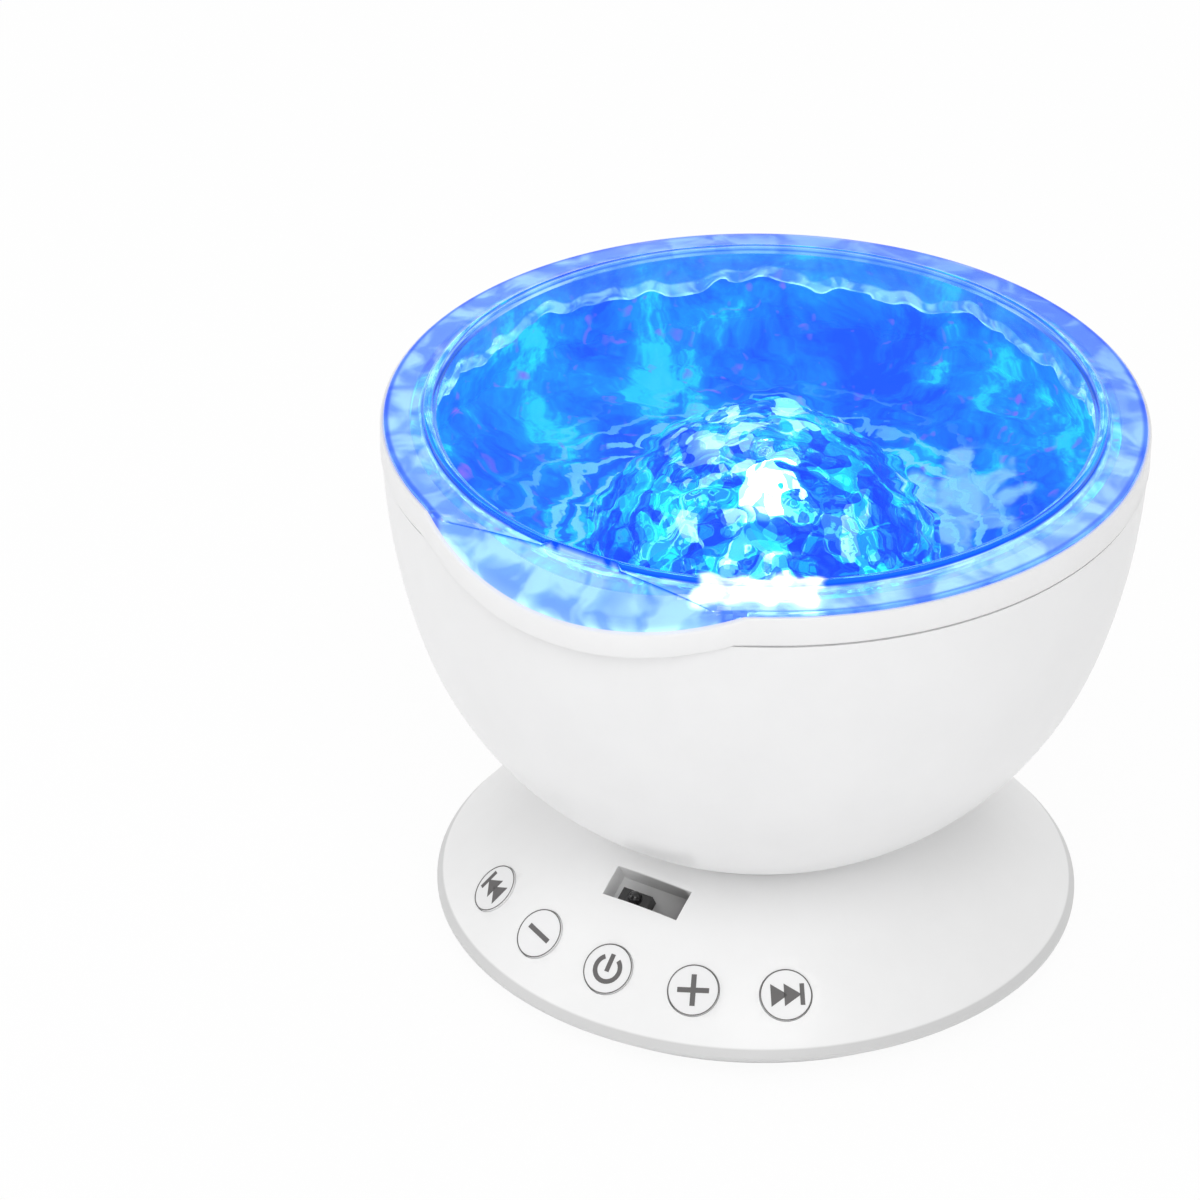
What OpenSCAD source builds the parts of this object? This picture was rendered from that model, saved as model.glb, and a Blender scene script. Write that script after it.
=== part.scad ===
// Ocean wave projector: a bowl-shaped projector head that tilts in the cup of a domed base.
// The front, with the buttons and the pouring lip, faces -Y, and the base stands on z = 0.

/* [Rim and clear cover] */
// Outer diameter of the bowl's rim
rim_d = 125.6; // [117.6:0.2:133.6]
// Height of the rim, where the clear cover sits on the bezel
rim_z = 94.6; // [92:0.1:98]
// Height of the white bezel ring
bezel_h = 5; // [3.5:0.1:6]
// Width of the bezel's top that shows round the cover
bezel_top_w = 0.6; // [0.4:0.1:2]
// How far the front lip stands out past the rim
lip_reach = 1.4; // [0.6:0.1:2]
// How far the front lip dips below the rim
lip_drop = 5.6; // [4.5:0.1:6.5]
// Slope of the front lip's flat facet, in degrees
lip_slope = 33; // [30:1:38]
// Height of the bezel below the facet of the lip
lip_band_h = 4.2; // [2:0.1:5]
// Radius of the lip's curve, seen from above
lip_circle_r = 55; // [52:0.5:57]
// Wall of the clear cover
cover_t = 2; // [1.5:0.1:2.5]
// Height of the clear cover's outer edge
cover_edge_h = 0.6; // [0.4:0.1:1.6]
// Diameter of the raised ring on the cover, at its middle
ring_d = 110; // [104:0.2:112]
// Width of the raised ring
ring_w = 2; // [1.4:0.1:2.6]
// Rise of the cover from its edge to the raised ring
cover_rise = 1; // [0.2:0.1:1.4]

/* [Bowl] */
// Radius of the ball surface that the bowl tilts on
ball_r = 60; // [58.5:0.5:61]
// Height of the ball's centre, which is the tilt axis
ball_z = 76.8; // [75:0.2:79]
// Wall of the bowl
bowl_wall = 2.2; // [1.8:0.1:2.6]
// Angle below the ball's equator where the flared wall starts, in degrees
flare_angle = 18; // [14:1:22]
// How much smaller the bowl's top is than the rim, in radius
bowl_step = 0.3; // [0.2:0.05:0.6]
// Height of the shadow line below the bezel
seam_h = 0.4; // [0.3:0.05:0.6]
// Depth of the shadow line below the bezel
seam_d = 0.7; // [0.4:0.1:0.9]

/* [Base] */
// Diameter of the base at its edge
base_d = 108.8; // [106:0.2:114]
// Height of the base's edge
base_edge_z = 5; // [4.8:0.1:6]
// Radius of the domed top of the base
dome_r = 70.5; // [69.5:0.5:72]
// Wall of the base shell
base_wall = 2.2; // [1.8:0.1:2.4]
// Height of the upright strip below the base's edge
edge_strip_h = 0.6; // [0.4:0.1:1]
// Diameter of the base plate's flat underside
plate_d = 99.6; // [96:0.2:101]
// Thickness of the base plate
plate_t = 2; // [1.6:0.1:2.4]
// Diameter of a rubber foot
foot_d = 10; // [8:0.5:12]
// Height of the base plate's underside above the floor
foot_lift = 0.8; // [0.6:0.1:1.2]
// Depth of the pocket that holds a foot
foot_pocket = 0.8; // [0.5:0.1:1]
// Distance of the feet and of the base screws from the middle
foot_ring_r = 41; // [39:0.5:42]

/* [Tilt joint] */
// How far the bowl tilts back, in degrees
tilt_max = 45; // [30:1:45]
// Running gap between the bowl and what it slides on
slide_gap = 0.3; // [0.25:0.05:0.4]
// Outer diameter of the hollow pivot tube
tube_d = 10; // [9:0.5:10.5]
// Bore of the pivot tube
tube_bore = 6.8; // [6:0.2:7.4]
// Diameter of the shoe's neck, which runs in the bowl's slot
neck_d = 12; // [11.5:0.5:13]
// Diameter of the shoe inside the bowl
shoe_d = 28; // [24:1:30]
// Thickness of the shoe
shoe_t = 2.4; // [2:0.1:3]
// Width across the flats of the pivot nuts
nut_flats = 14; // [13:0.5:15]
// Thickness of a pivot nut
nut_t = 4; // [3:0.5:4.5]
// Sheet thickness of a spring washer
washer_t = 0.8; // [0.6:0.1:1]
// Cone height of a spring washer
washer_cone = 0.4; // [0.3:0.05:0.5]

/* [Buttons] */
// Diameter of a button
button_d = 8.6; // [7.5:0.1:9]
// Distance of the buttons from the middle of the base
button_ring_r = 47.2; // [46.5:0.1:47.6]
// Angle from one button to the next, in degrees
button_step = 18.5; // [17:0.5:19]
// How far a button can be pressed
button_travel = 0.6; // [0.4:0.05:0.7]
// How far a button stands out of the base
button_proud = 0.2; // [0.1:0.05:0.5]

/* [Receiver window and sockets] */
// Width of the infrared receiver's window
window_w = 14.3; // [12:0.1:15]
// Height of the receiver's window, along the slope
window_h = 5.6; // [4.6:0.1:6]
// Distance of the window from the middle of the base
window_r = 35.4; // [34.5:0.1:36]
// Depth of the window's recess
window_depth = 4.4; // [3.6:0.1:4.8]
// Bore of the power socket
power_bore = 6; // [5.6:0.1:6.2]
// Diameter of the power socket's pin
power_pin = 2; // [1.8:0.1:2.2]
// Bore of the audio socket, for a 3.5 mm plug
audio_bore = 3.6; // [3.56:0.01:3.7]
// Depth of the audio socket
audio_depth = 12.5; // [11:0.5:13]
// Height of the sockets' centre line
socket_z = 10.3; // [10.2:0.05:10.5]
// Distance of each socket from the middle plane
socket_x = 6; // [5.5:0.1:6.5]
// Width of the socket recess
recess_w = 30; // [26:0.5:32]
// Distance of the recess's wall from the middle of the base
recess_y = 43; // [42.5:0.1:43.5]

/* [Light and wave drive] */
// Outer diameter of the rotating ripple dome's flange
lens_d = 59; // [56:0.2:60]
// Height of the ripple dome above its flange
lens_h = 20; // [14:0.5:20.5]
// Wall of the ripple dome
lens_t = 1.8; // [1.4:0.1:2.2]
// Height of the underside of the ripple dome's flange
lens_z = 70.5; // [69.5:0.1:71.5]
// Outer diameter of the sleeve that the ripple dome turns on
sleeve_d = 50; // [49:0.2:51]
// Radial running fit of the turning pieces
running_fit = 0.06; // [0.03:0.01:0.09]
// Tooth module of the wave drive
gear_module = 1.15; // [1.12:0.01:1.18]
// Teeth on the ripple dome's gear
gear_teeth = 48; // [44:4:52]
// Teeth on the motor's pinion
pinion_teeth = 12; // [11:1:13]
// Thickness of the gear
gear_t = 4; // [3:0.5:4.5]
// Backlash left between the teeth
backlash = 0.3; // [0.25:0.05:0.35]
// Diameter of the round light board
led_board_d = 38; // [32:1:40]
// Number of coloured lamps on the light board
led_count = 12; // [8:1:12]
// Diameter of the drive motor
motor_d = 16; // [14:0.5:17]
// Length of the drive motor
motor_h = 11; // [9:0.5:11.5]

/* [Sound] */
// Diameter of the loudspeaker
speaker_d = 30; // [27:0.5:31]
// Depth of the loudspeaker
speaker_h = 9.4; // [9:0.1:9.8]
// Distance of the loudspeaker in front of the middle
speaker_y = 20; // [19.5:0.1:20.5]

/* [Hidden] */
$fn = 96;
big = 400;
skin = 1;
rim_r = rim_d / 2;
base_r = base_d / 2;
plate_r = plate_d / 2;
tube_r = tube_d / 2;
neck_r = neck_d / 2;

// Rim, lip and cover
cover_r = rim_r - bezel_top_w;
lip_front = rim_r + lip_reach;
lip_circle_y = lip_front - lip_circle_r;
lip_z = rim_z - lip_drop;
ring_r = ring_d / 2;
ring_z = rim_z + cover_edge_h + cover_rise;
cover_window_r = ring_r - ring_w / 2;
window_sink = 0.4;
seam_z = rim_z - bezel_h;

// Bowl: a ball below the flare line and a tangent arc above it, which bends outward on a wide rim
flare_dir = [cos(flare_angle), -sin(flare_angle)];
flare_start = [0, ball_z] + ball_r * flare_dir;
bowl_top = [rim_r - bowl_step, seam_z];
flare_gap = bowl_top - flare_start;
flare_r = -(flare_gap * flare_gap) / (2 * (flare_dir * flare_gap));
flare_centre = flare_start - flare_r * flare_dir;
flare_step = 4;
flare_fn = max($fn, ceil(2 * PI * abs(flare_r) / flare_step));
function flare_at(z, wall) = flare_centre[0]
    + sign(flare_r) * sqrt(pow(flare_r - wall, 2) - pow(flare_centre[1] - z, 2));

// Seats inside the rim
dish_t = 1.8;
dish_flange_w = 2.7;
dish_clear = 0.3;
snap_h = 1.4;
snap_d = 0.6;
snap_clear = 0.3;
ledge_h = 4;
ledge_below = 5.5;
ledge_z = lip_z - lip_band_h - ledge_below;
dish_top = ledge_z + dish_t;
dish_r = min(flare_at(ledge_z, bowl_wall), flare_at(dish_top, bowl_wall)) - dish_clear;
skirt_r = min(flare_at(dish_top, bowl_wall), flare_at(seam_z, bowl_wall)) - dish_clear;
skirt_t = 1.6;
lining_r = skirt_r - skirt_t - dish_clear;
lining_t = 1.2;
cover_skirt_r = lining_r - lining_t - dish_clear;
cover_skirt_t = 1.2;
cover_skirt_h = 8.6;
cover_skirt_z = rim_z - cover_skirt_h;
snap_z = dish_top + 1.2;

// Wave drive, from the ripple dome down
gap = slide_gap;
lens_flange_t = 1.5;
lens_r = lens_d / 2;
sleeve_r = sleeve_d / 2;
sleeve_t = 2.5;
sleeve_h = 5;
collar_r = sleeve_r + 2.2;
lens_foot_r = lens_r - 0.8;
lens_ball_r = (lens_foot_r * lens_foot_r + lens_h * lens_h) / (2 * lens_h);
gear_r = gear_module * gear_teeth / 2;
pinion_r = gear_module * pinion_teeth / 2;
drive_x = gear_r + pinion_r;
gear_top = lens_z - sleeve_h;
gear_z = gear_top - gear_t;
pinion_over = 0.4;
pinion_t = gear_t + pinion_over;
chassis_t = 2;
chassis_z = gear_z - 6.5;
chassis_top = chassis_z + chassis_t;
chassis_r = drive_x + motor_d / 2 + 1.5;
post_ring_r = 40;
post_r = 3;
post_angles = [45, 135, 225, 315];
shaft_r = 1.5;
motor_boss_r = 3;
motor_ear_x = motor_d / 2 + 3;
motor_ear_t = 2;

// Dish: a shallow arc from the collar up to its flange
dish_low = [collar_r, lens_z - 1.2];
dish_high = [dish_r - dish_flange_w, dish_top];
dish_arc_r = 60;
dish_mid = (dish_low + dish_high) / 2;
dish_chord = norm(dish_high - dish_low);
dish_dir = (dish_high - dish_low) / dish_chord;
dish_up = sqrt(dish_arc_r * dish_arc_r - dish_chord * dish_chord / 4);
dish_centre = dish_mid + dish_up * [-dish_dir[1], dish_dir[0]];

// Light board
led_pad_h = 2;
led_pad_r = 12;
led_board_z = chassis_top + led_pad_h;
led_board_t = 1.6;
led_top = led_board_z + led_board_t;
led_ring_r = led_board_d / 2 - 4.5;
led_size = 3.6;
led_h = 1.4;
led_screw_r = 8.5;
white_led_r = 3.6;
white_led_h = 1.2;

// Base shell: a dome over a floor plate, with the ball's cup sunk into its top
strip_z = base_edge_z - edge_strip_h;
dome_z = base_edge_z - sqrt(dome_r * dome_r - base_r * base_r);
dome_in_r = dome_r - base_wall;
seat_r = ball_r + slide_gap;
plate_top = foot_lift + plate_t;
boss_r = 3.2;
screw_r = 1.2;
screw_head_r = 2.4;
screw_head_h = 1.6;
screw_clear = 0.1;
pilot_r = screw_r + 0.05;
base_screw_angles = [25, 155, 210, 330];
base_screw_len = 10;
screw_cup_h = 2;
foot_angles = [58, 122, 232, 308];
lip_wall = 0.9;
lip_rise = 2;
lip_clear = 0.2;

// Tilt joint, from the floor up
boss_wall = 3.4;
pivot_boss_r = tube_r + boss_wall;
neck_sink = 1;
neck_z = ball_z - seat_r - neck_sink;
pivot_boss_h = 4.7;
pivot_boss_z = neck_z - pivot_boss_h;
lower_nut_z = pivot_boss_z - nut_t;
tube_end = 1;
shoe_r_out = ball_r - bowl_wall - slide_gap;
shoe_r_in = shoe_r_out - shoe_t;
hub_rise = 0.8;
hub_top = ball_z - shoe_r_in + hub_rise;
washer_h = washer_t + washer_cone;
washer_r = nut_flats / 2 + 0.4;
fit = 0.05;
upper_nut_z = hub_top + 2 * washer_h;
tube_top = upper_nut_z + nut_t + tube_end;
tube_z = lower_nut_z - tube_end;
slot_clear = 0.4;
slot_w = neck_d + 2 * slot_clear;
slot_end = asin(slot_w / 2 / (ball_r - bowl_wall)) + 1;

// Buttons and switches, measured inward along each button's own axis
button_r = button_d / 2;
button_clear = 0.1;
flange_t = 0.7;
flange_w = 0.6;
flange_in = base_wall + 0.35;
button_nub_r = 1.6;
button_nub_h = 0.4;
nub_in = flange_in + flange_t + button_nub_h;
plunger_h = 0.5;
plunger_r = 0.9;
plunger_in = nub_in + button_travel + 0.05;
switch_h = 1.6;
switch_w = 4.5;
switch_in = plunger_in + plunger_h + switch_h;
tile_w = 7;
tile_t = 1;
tile_in = switch_in + tile_t;
carrier_t = 1.2;
carrier_w = 8;
tile_sink = 0.3;
button_tilt = asin(button_ring_r / dome_r);
carrier_span = 4 * button_step + 12;
carrier_leg_r = 1.6;
button_angles = [for (i = [-2:2]) i * button_step];

// Receiver
window_tilt = asin(window_r / dome_r);
well_wall = 1.3;
receiver = [5.6, 2.6, 2.2];
receiver_lens_r = 1.6;
receiver_x = -2.4;

// Board and sockets
board_t = 1.2;
board_z = socket_z - 4.3;
board_top = board_z + board_t;
recess_wall = 2;
recess_floor = 1.2;
socket_back = recess_y - recess_wall;
board_w = 38;
board_gap = 0.4;
board_y = [15.5, socket_back - board_gap];
board_posts = [[-15.5, 19], [15.5, 19], [-15.5, 34.5], [15.5, 34.5]];
board_post_r = 2;
chip = [9, 6, 1.6];
small_chip = [5, 4, 1.4];
chip_edge = 2.5;
chip_x = [-9, 3];
can = [11, 8];
can_r = 2;
can_h = 4.5;
board_screw_r = 0.9;
board_head_r = 1.7;
board_head_h = 1.2;
socket_len = 12;
power_w = 8;
audio_w = 7;
socket_h = 2 * (socket_z - board_top);
power_nose_r = power_bore / 2 + 0.9;
audio_nose_r = audio_bore / 2 + 1.1;
power_depth = 10;

// Loudspeaker, facing down on the base plate
speaker_r = speaker_d / 2;
gasket_t = 0.8;
speaker_z = plate_top + gasket_t;
speaker_rim_t = 1;
speaker_rim_w = 2;
magnet_r = 8;
magnet_h = 4;
basket_h = speaker_h - magnet_h;
magnet_z = speaker_z + basket_h;
cone_t = 0.6;
dust_cap_r = 5;
ear_r = 2.6;
ear_x = speaker_r + ear_r;
ear_boss_r = 2;
grille_r = speaker_r - speaker_rim_w - 2;
grille_w = 1.8;
grille_step = 4;

// Helpers

// Places children on the base's dome, with +Z out of it and +Y up the slope
module on_dome(angle, r) {
    rotate([0, 0, angle])
        translate([0, 0, dome_z])
            rotate([asin(r / dome_r), 0, 0])
                translate([0, 0, dome_r])
                    children();
}

// Places children round the middle at each angle, counted from +X
module around(angles, r) {
    for (a = angles)
        rotate([0, 0, a])
            translate([r, 0, 0])
                children();
}

module block(size, z) {
    translate([-size[0] / 2, -size[1] / 2, z])
        cube(size);
}

module tube(r_out, r_in, h) {
    difference() {
        cylinder(r = r_out, h = h);
        translate([0, 0, -skin])
            cylinder(r = r_in, h = h + 2 * skin);
    }
}

// A pan-head screw that points down, with its head's underside at z = 0
module screw(shank_r, len, head_r, head_h) {
    translate([0, 0, -len])
        cylinder(r = shank_r, h = len);
    difference() {
        cylinder(r = head_r, h = head_h);
        translate([0, 0, head_h / 2])
            block([head_r * 1.2, head_r * 0.3, head_h], 0);
        translate([0, 0, head_h / 2])
            block([head_r * 0.3, head_r * 1.2, head_h], 0);
    }
}

// A spur gear's outline with straight-flanked teeth
module gear_outline(teeth, phase) {
    r = gear_module * teeth / 2;
    pitch = PI * gear_module;
    tip = [r + gear_module, pitch / 2 - backlash - 0.7 * gear_module];
    root = [r - 1.25 * gear_module, pitch / 2 - backlash + 0.8 * gear_module];
    function corner(p, side) = side * p[1] / 2 / p[0] * 180 / PI;
    polygon([for (i = [0:teeth - 1]) let (a = (i + phase) * 360 / teeth)
        for (p = [[root, -1], [tip, -1], [tip, 1], [root, 1]])
            p[0][0] * [cos(a + corner(p[0], p[1])), sin(a + corner(p[0], p[1]))]]);
}

// Everything below the sloping plane of the front lip, moved down by drop
module below_lip(drop) {
    translate([0, bezel_top_w - lip_front, lip_z - drop])
        rotate([lip_slope, 0, 0])
            translate([-big / 2, -big / 2, -big])
                cube(big);
}

// Everything below the rim, which is level and dips at the lip
module below_rim(drop, lip_down) {
    intersection() {
        block([big, big, big], rim_z - drop - big);
        below_lip(lip_down);
    }
}

// The rim's outline seen from above: a circle with a shallow bulge at the front
module rim_outline(inset) {
    circle(r = rim_r - inset);
    translate([0, -lip_circle_y])
        circle(r = lip_circle_r - inset);
}

module rim_prism(inset) {
    translate([0, 0, ball_z - ball_r])
        linear_extrude(2 * ball_r)
            rim_outline(inset);
}

// Half of the bowl's section, moved inward by wall
module bowl_half(wall) {
    intersection() {
        translate([0, ball_z])
            circle(r = ball_r - wall);
        polygon([[0, ball_z], [0, ball_z - big], [big, ball_z - big], [0, ball_z] + big * flare_dir]);
    }
    if (flare_r > 0)
        intersection() {
            flare_circle(wall);
            polygon([[0, ball_z], [0, ball_z] + big * flare_dir, [big, rim_z], [0, rim_z]]);
        }
    else
        difference() {
            polygon([[0, ball_z], flare_start, bowl_top, [bowl_top[0], rim_z], [0, rim_z]]);
            flare_circle(wall);
        }
}

module flare_circle(wall) {
    translate(flare_centre)
        circle(r = abs(flare_r - wall), $fn = flare_fn);
}

// A wedge of a ring about the tilt axis, from one angle behind straight down to another
module tilt_sector(r_in, r_out, width, from, to) {
    translate([0, 0, ball_z])
        rotate([0, 90, 0])
            rotate([0, 0, from])
                rotate_extrude(angle = to - from)
                    translate([r_in, -width / 2])
                        square([r_out - r_in, width]);
}

// Base

module base_section() {
    difference() {
        intersection() {
            union() {
                difference() {
                    translate([0, dome_z])
                        circle(r = dome_r);
                    translate([0, dome_z])
                        circle(r = dome_in_r);
                }
                intersection() {
                    translate([0, dome_z])
                        circle(r = dome_r);
                    translate([0, ball_z])
                        circle(r = seat_r + base_wall);
                }
            }
            translate([0, strip_z])
                square([base_r, ball_z]);
        }
        translate([0, ball_z])
            circle(r = seat_r);
    }
}

module in_dome() {
    intersection() {
        children();
        translate([0, 0, dome_z])
            sphere(r = dome_r - base_wall / 2);
    }
}

module base_shell() {
    color("whitesmoke")
    difference() {
        union() {
            rotate_extrude()
                base_section();
            in_dome() {
                around(base_screw_angles, foot_ring_r)
                    translate([0, 0, plate_top + screw_cup_h])
                        cylinder(r = boss_r, h = dome_r);
            }
            difference() {
                translate([0, 0, pivot_boss_z])
                    cylinder(r = pivot_boss_r, h = pivot_boss_h + neck_sink + base_wall);
                translate([0, 0, ball_z])
                    sphere(r = seat_r);
            }
            in_dome() {
                on_dome(0, window_r)
                    block([window_w + 2 * well_wall, window_h + 2 * well_wall, window_depth + well_wall],
                        -window_depth - well_wall);
            }
            in_dome() {
                translate([-recess_w / 2 - recess_wall, socket_back, strip_z])
                    cube([recess_w + 2 * recess_wall, base_r, dome_r]);
            }
        }
        on_dome(0, window_r)
            block([window_w, window_h, window_depth + dome_r], -window_depth);
        translate([-recess_w / 2, recess_y, strip_z + recess_floor])
            cube([recess_w, base_r, dome_r]);
        for (side = [[-socket_x, power_nose_r], [socket_x, audio_nose_r]])
            translate([side[0], socket_back - skin, socket_z])
                rotate([-90, 0, 0])
                    cylinder(r = side[1] + screw_clear, h = recess_wall + 2 * skin);
        for (a = button_angles)
            on_dome(a, button_ring_r)
                translate([0, 0, -base_wall - 2 * skin])
                    cylinder(r = button_r + button_clear, h = base_wall + 4 * skin);
        around(base_screw_angles, foot_ring_r)
            translate([0, 0, plate_top])
                cylinder(r = pilot_r, h = screw_cup_h + base_screw_len - skin);
        translate([0, 0, pivot_boss_z - skin])
            cylinder(r = tube_r + fit, h = ball_z);
        translate([0, 0, neck_z])
            cylinder(r = neck_r + fit, h = ball_z);
    }
}

module plate_section() {
    polygon([[0, foot_lift], [plate_r, foot_lift], [base_r - edge_strip_h / 2, strip_z],
        [base_r - plate_t - skin, strip_z], [plate_r - plate_t, plate_top], [0, plate_top]]);
}

module base_plate() {
    lip_r = sqrt(dome_in_r * dome_in_r - pow(strip_z + lip_rise - dome_z, 2)) - lip_clear;
    color("gainsboro")
    difference() {
        union() {
            rotate_extrude()
                plate_section();
            difference() {
                translate([0, 0, plate_top - skin])
                    tube(lip_r, lip_r - lip_wall, strip_z + lip_rise - plate_top + skin);
                translate([-recess_w / 2 - recess_wall - lip_clear, 0, strip_z])
                    cube([recess_w + 2 * (recess_wall + lip_clear), base_r, base_r]);
            }
            around(base_screw_angles, foot_ring_r)
                cylinder_from(plate_top - skin, boss_r, screw_cup_h + skin);
            for (p = board_posts)
                translate(p)
                    cylinder_from(plate_top - skin, board_post_r, board_z - plate_top + skin);
            for (side = [-1, 1])
                translate([side * ear_x, -speaker_y])
                    cylinder_from(plate_top - skin, ear_boss_r, gasket_t + skin);
        }
        around(foot_angles, foot_ring_r)
            cylinder_from(foot_lift - skin, foot_d / 2 + fit, foot_pocket + skin);
        around(base_screw_angles, foot_ring_r) {
            cylinder_from(0, screw_r + screw_clear, big);
            cylinder_from(0, screw_head_r + screw_clear, plate_top + screw_cup_h - plate_t / 2);
        }
        for (p = board_posts)
            translate(p)
                cylinder_from(plate_top, board_screw_r + fit, board_z);
        for (side = [-1, 1])
            translate([side * ear_x, -speaker_y])
                cylinder_from(foot_lift + plate_t / 2, board_screw_r + fit, plate_top);
        for (i = [-2:2])
            translate([0, i * grille_step - speaker_y, 0])
                block([2 * sqrt(grille_r * grille_r - pow(i * grille_step, 2)), grille_w, big], 0);
    }
}

module cylinder_from(z, r, h) {
    translate([0, 0, z])
        cylinder(r = r, h = h);
}

module rubber_feet() {
    color("dimgray")
    around(foot_angles, foot_ring_r)
        cylinder(r = foot_d / 2, h = foot_lift + foot_pocket);
}

module base_screws() {
    color("silver")
    around(base_screw_angles, foot_ring_r)
        translate([0, 0, plate_top + screw_cup_h - plate_t / 2])
            rotate([180, 0, 0])
                screw(screw_r, base_screw_len, screw_head_r, screw_head_h);
}

// Buttons and their switches

module button(index) {
    on_dome(button_angles[index], button_ring_r) {
        translate([0, 0, -flange_in])
            cylinder(r = button_r, h = flange_in + button_proud);
        translate([0, 0, -flange_in - flange_t])
            cylinder(r = button_r + flange_w, h = flange_t);
        translate([0, 0, -nub_in])
            cylinder(r = button_nub_r, h = button_nub_h);
    }
}

module button_previous() { color("white") button(0); }
module button_minus() { color("white") button(1); }
module button_power() { color("white") button(2); }
module button_plus() { color("white") button(3); }
module button_next() { color("white") button(4); }

module switch_carrier() {
    axis_r = button_ring_r - tile_in * sin(button_tilt);
    axis_z = dome_z + dome_r * cos(button_tilt) - tile_in * cos(button_tilt);
    color("gray")
    difference() {
        union() {
            rotate([0, 0, -90 - carrier_span / 2])
                rotate_extrude(angle = carrier_span)
                    translate([axis_r, axis_z])
                        rotate(-button_tilt)
                            translate([-carrier_w / 2, -carrier_t])
                                square([carrier_w, carrier_t + tile_sink]);
            around([for (i = [-1.5:1:1.5]) i * button_step - 90], axis_r)
                cylinder_from(plate_top, carrier_leg_r, axis_z - plate_top - carrier_t / 2);
        }
        for (a = button_angles)
            on_dome(a, button_ring_r)
                block([tile_w + 2 * fit, tile_w + 2 * fit, 4 * skin], -tile_in);
    }
}

module switch_boards() {
    color("darkgreen")
    for (a = button_angles)
        on_dome(a, button_ring_r)
            block([tile_w, tile_w, tile_t], -tile_in);
}

module tact_switches() {
    color("black")
    for (a = button_angles)
        on_dome(a, button_ring_r) {
            block([switch_w, switch_w, switch_h], -switch_in);
            translate([0, 0, -plunger_in - plunger_h])
                cylinder(r = plunger_r, h = plunger_h);
        }
}

// Infrared receiver, in the recess of its window
module ir_receiver() {
    color("black")
    on_dome(0, window_r)
        translate([receiver_x, (receiver[1] - window_h) / 2 + skin / 2, -window_depth]) {
            block(receiver, 0);
            translate([0, 0, receiver[2]])
                difference() {
                    sphere(r = receiver_lens_r * 0.8);
                    block([big, big, big], -big - receiver[2] / 2);
                }
        }
}

// Loudspeaker

module at_speaker(z) {
    translate([0, -speaker_y, z])
        children();
}

module speaker_gasket() {
    color("dimgray")
    at_speaker(plate_top)
        tube(speaker_r, speaker_r - speaker_rim_w, gasket_t);
}

module speaker_basket() {
    color("darkgray")
    at_speaker(speaker_z)
        difference() {
            union() {
                rotate_extrude()
                    polygon([[speaker_r - speaker_rim_w, 0], [speaker_r, 0], [speaker_r, speaker_rim_t],
                        [speaker_r - speaker_rim_t, speaker_rim_t], [magnet_r, basket_h],
                        [magnet_r - 2, basket_h], [magnet_r - 2, basket_h - speaker_rim_t],
                        [magnet_r - 0.8, basket_h - speaker_rim_t],
                        [speaker_r - speaker_rim_w, speaker_rim_t]]);
                for (side = [-1, 1])
                    difference() {
                        translate([side * ear_x, 0, 0])
                            cylinder(r = ear_r, h = speaker_rim_t);
                        cylinder_from(-skin, speaker_r - speaker_rim_w, speaker_h);
                    }
            }
            for (side = [-1, 1])
                translate([side * ear_x, 0, -skin])
                    cylinder(r = board_screw_r + screw_clear, h = speaker_h);
        }
}

module speaker_cone() {
    wide = speaker_r - speaker_rim_w - fit;
    deep = basket_h - speaker_rim_t - 0.4;
    color("black")
    at_speaker(speaker_z)
        rotate_extrude()
            polygon([[wide, 0], [wide, cone_t], [wide - 2, cone_t], [dust_cap_r, deep], [0, deep],
                [0, deep - cone_t], [dust_cap_r - 1, deep - cone_t], [wide - 2.6, 0]]);
}

module speaker_magnet() {
    color("silver")
    at_speaker(magnet_z)
        cylinder(r = magnet_r, h = magnet_h);
}

module speaker_screws() {
    color("silver")
    for (side = [-1, 1])
        translate([side * ear_x, -speaker_y, speaker_z + speaker_rim_t])
            screw(board_screw_r, speaker_rim_t + gasket_t + plate_t / 2, board_head_r, board_head_h);
}

// Control board and sockets

module control_board() {
    color("darkgreen")
    difference() {
        translate([-board_w / 2, board_y[0], board_z])
            cube([board_w, board_y[1] - board_y[0], board_t]);
        for (p = board_posts)
            translate(p)
                cylinder_from(board_z - skin, board_screw_r + screw_clear, board_t + 2 * skin);
    }
    color("black") {
        translate([chip_x[0], board_y[0] + chip_edge, board_top])
            cube(chip);
        translate([chip_x[1], board_y[0] + chip_edge, board_top])
            cube(small_chip);
    }
    color("silver")
        translate([can[0], board_y[0] + can[1]])
            cylinder_from(board_top, can_r, can_h);
}

module board_screws() {
    color("silver")
    for (p = board_posts)
        translate([p[0], p[1], board_top])
            screw(board_screw_r, board_t + board_z - plate_top - 0.4, board_head_r, board_head_h);
}

module socket(width, nose_r, bore_r, depth) {
    difference() {
        union() {
            translate([-width / 2, socket_back - socket_len, board_top])
                cube([width, socket_len, socket_h]);
            translate([0, socket_back - board_gap / 2, socket_z])
                rotate([-90, 0, 0])
                    cylinder(r = nose_r, h = recess_wall + board_gap / 2);
        }
        translate([0, recess_y - depth, socket_z])
            rotate([-90, 0, 0])
                cylinder(r = bore_r, h = big);
    }
}

module power_socket() {
    color("black")
    translate([-socket_x, 0, 0]) {
        socket(power_w, power_nose_r, power_bore / 2, power_depth);
        translate([0, recess_y - power_depth - skin / 2, socket_z])
            rotate([-90, 0, 0])
                cylinder(r = power_pin / 2, h = power_depth - skin);
    }
}

module audio_socket() {
    color("black")
    translate([socket_x, 0, 0])
        socket(audio_w, audio_nose_r, audio_bore / 2, audio_depth);
}

// Tilt joint

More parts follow.
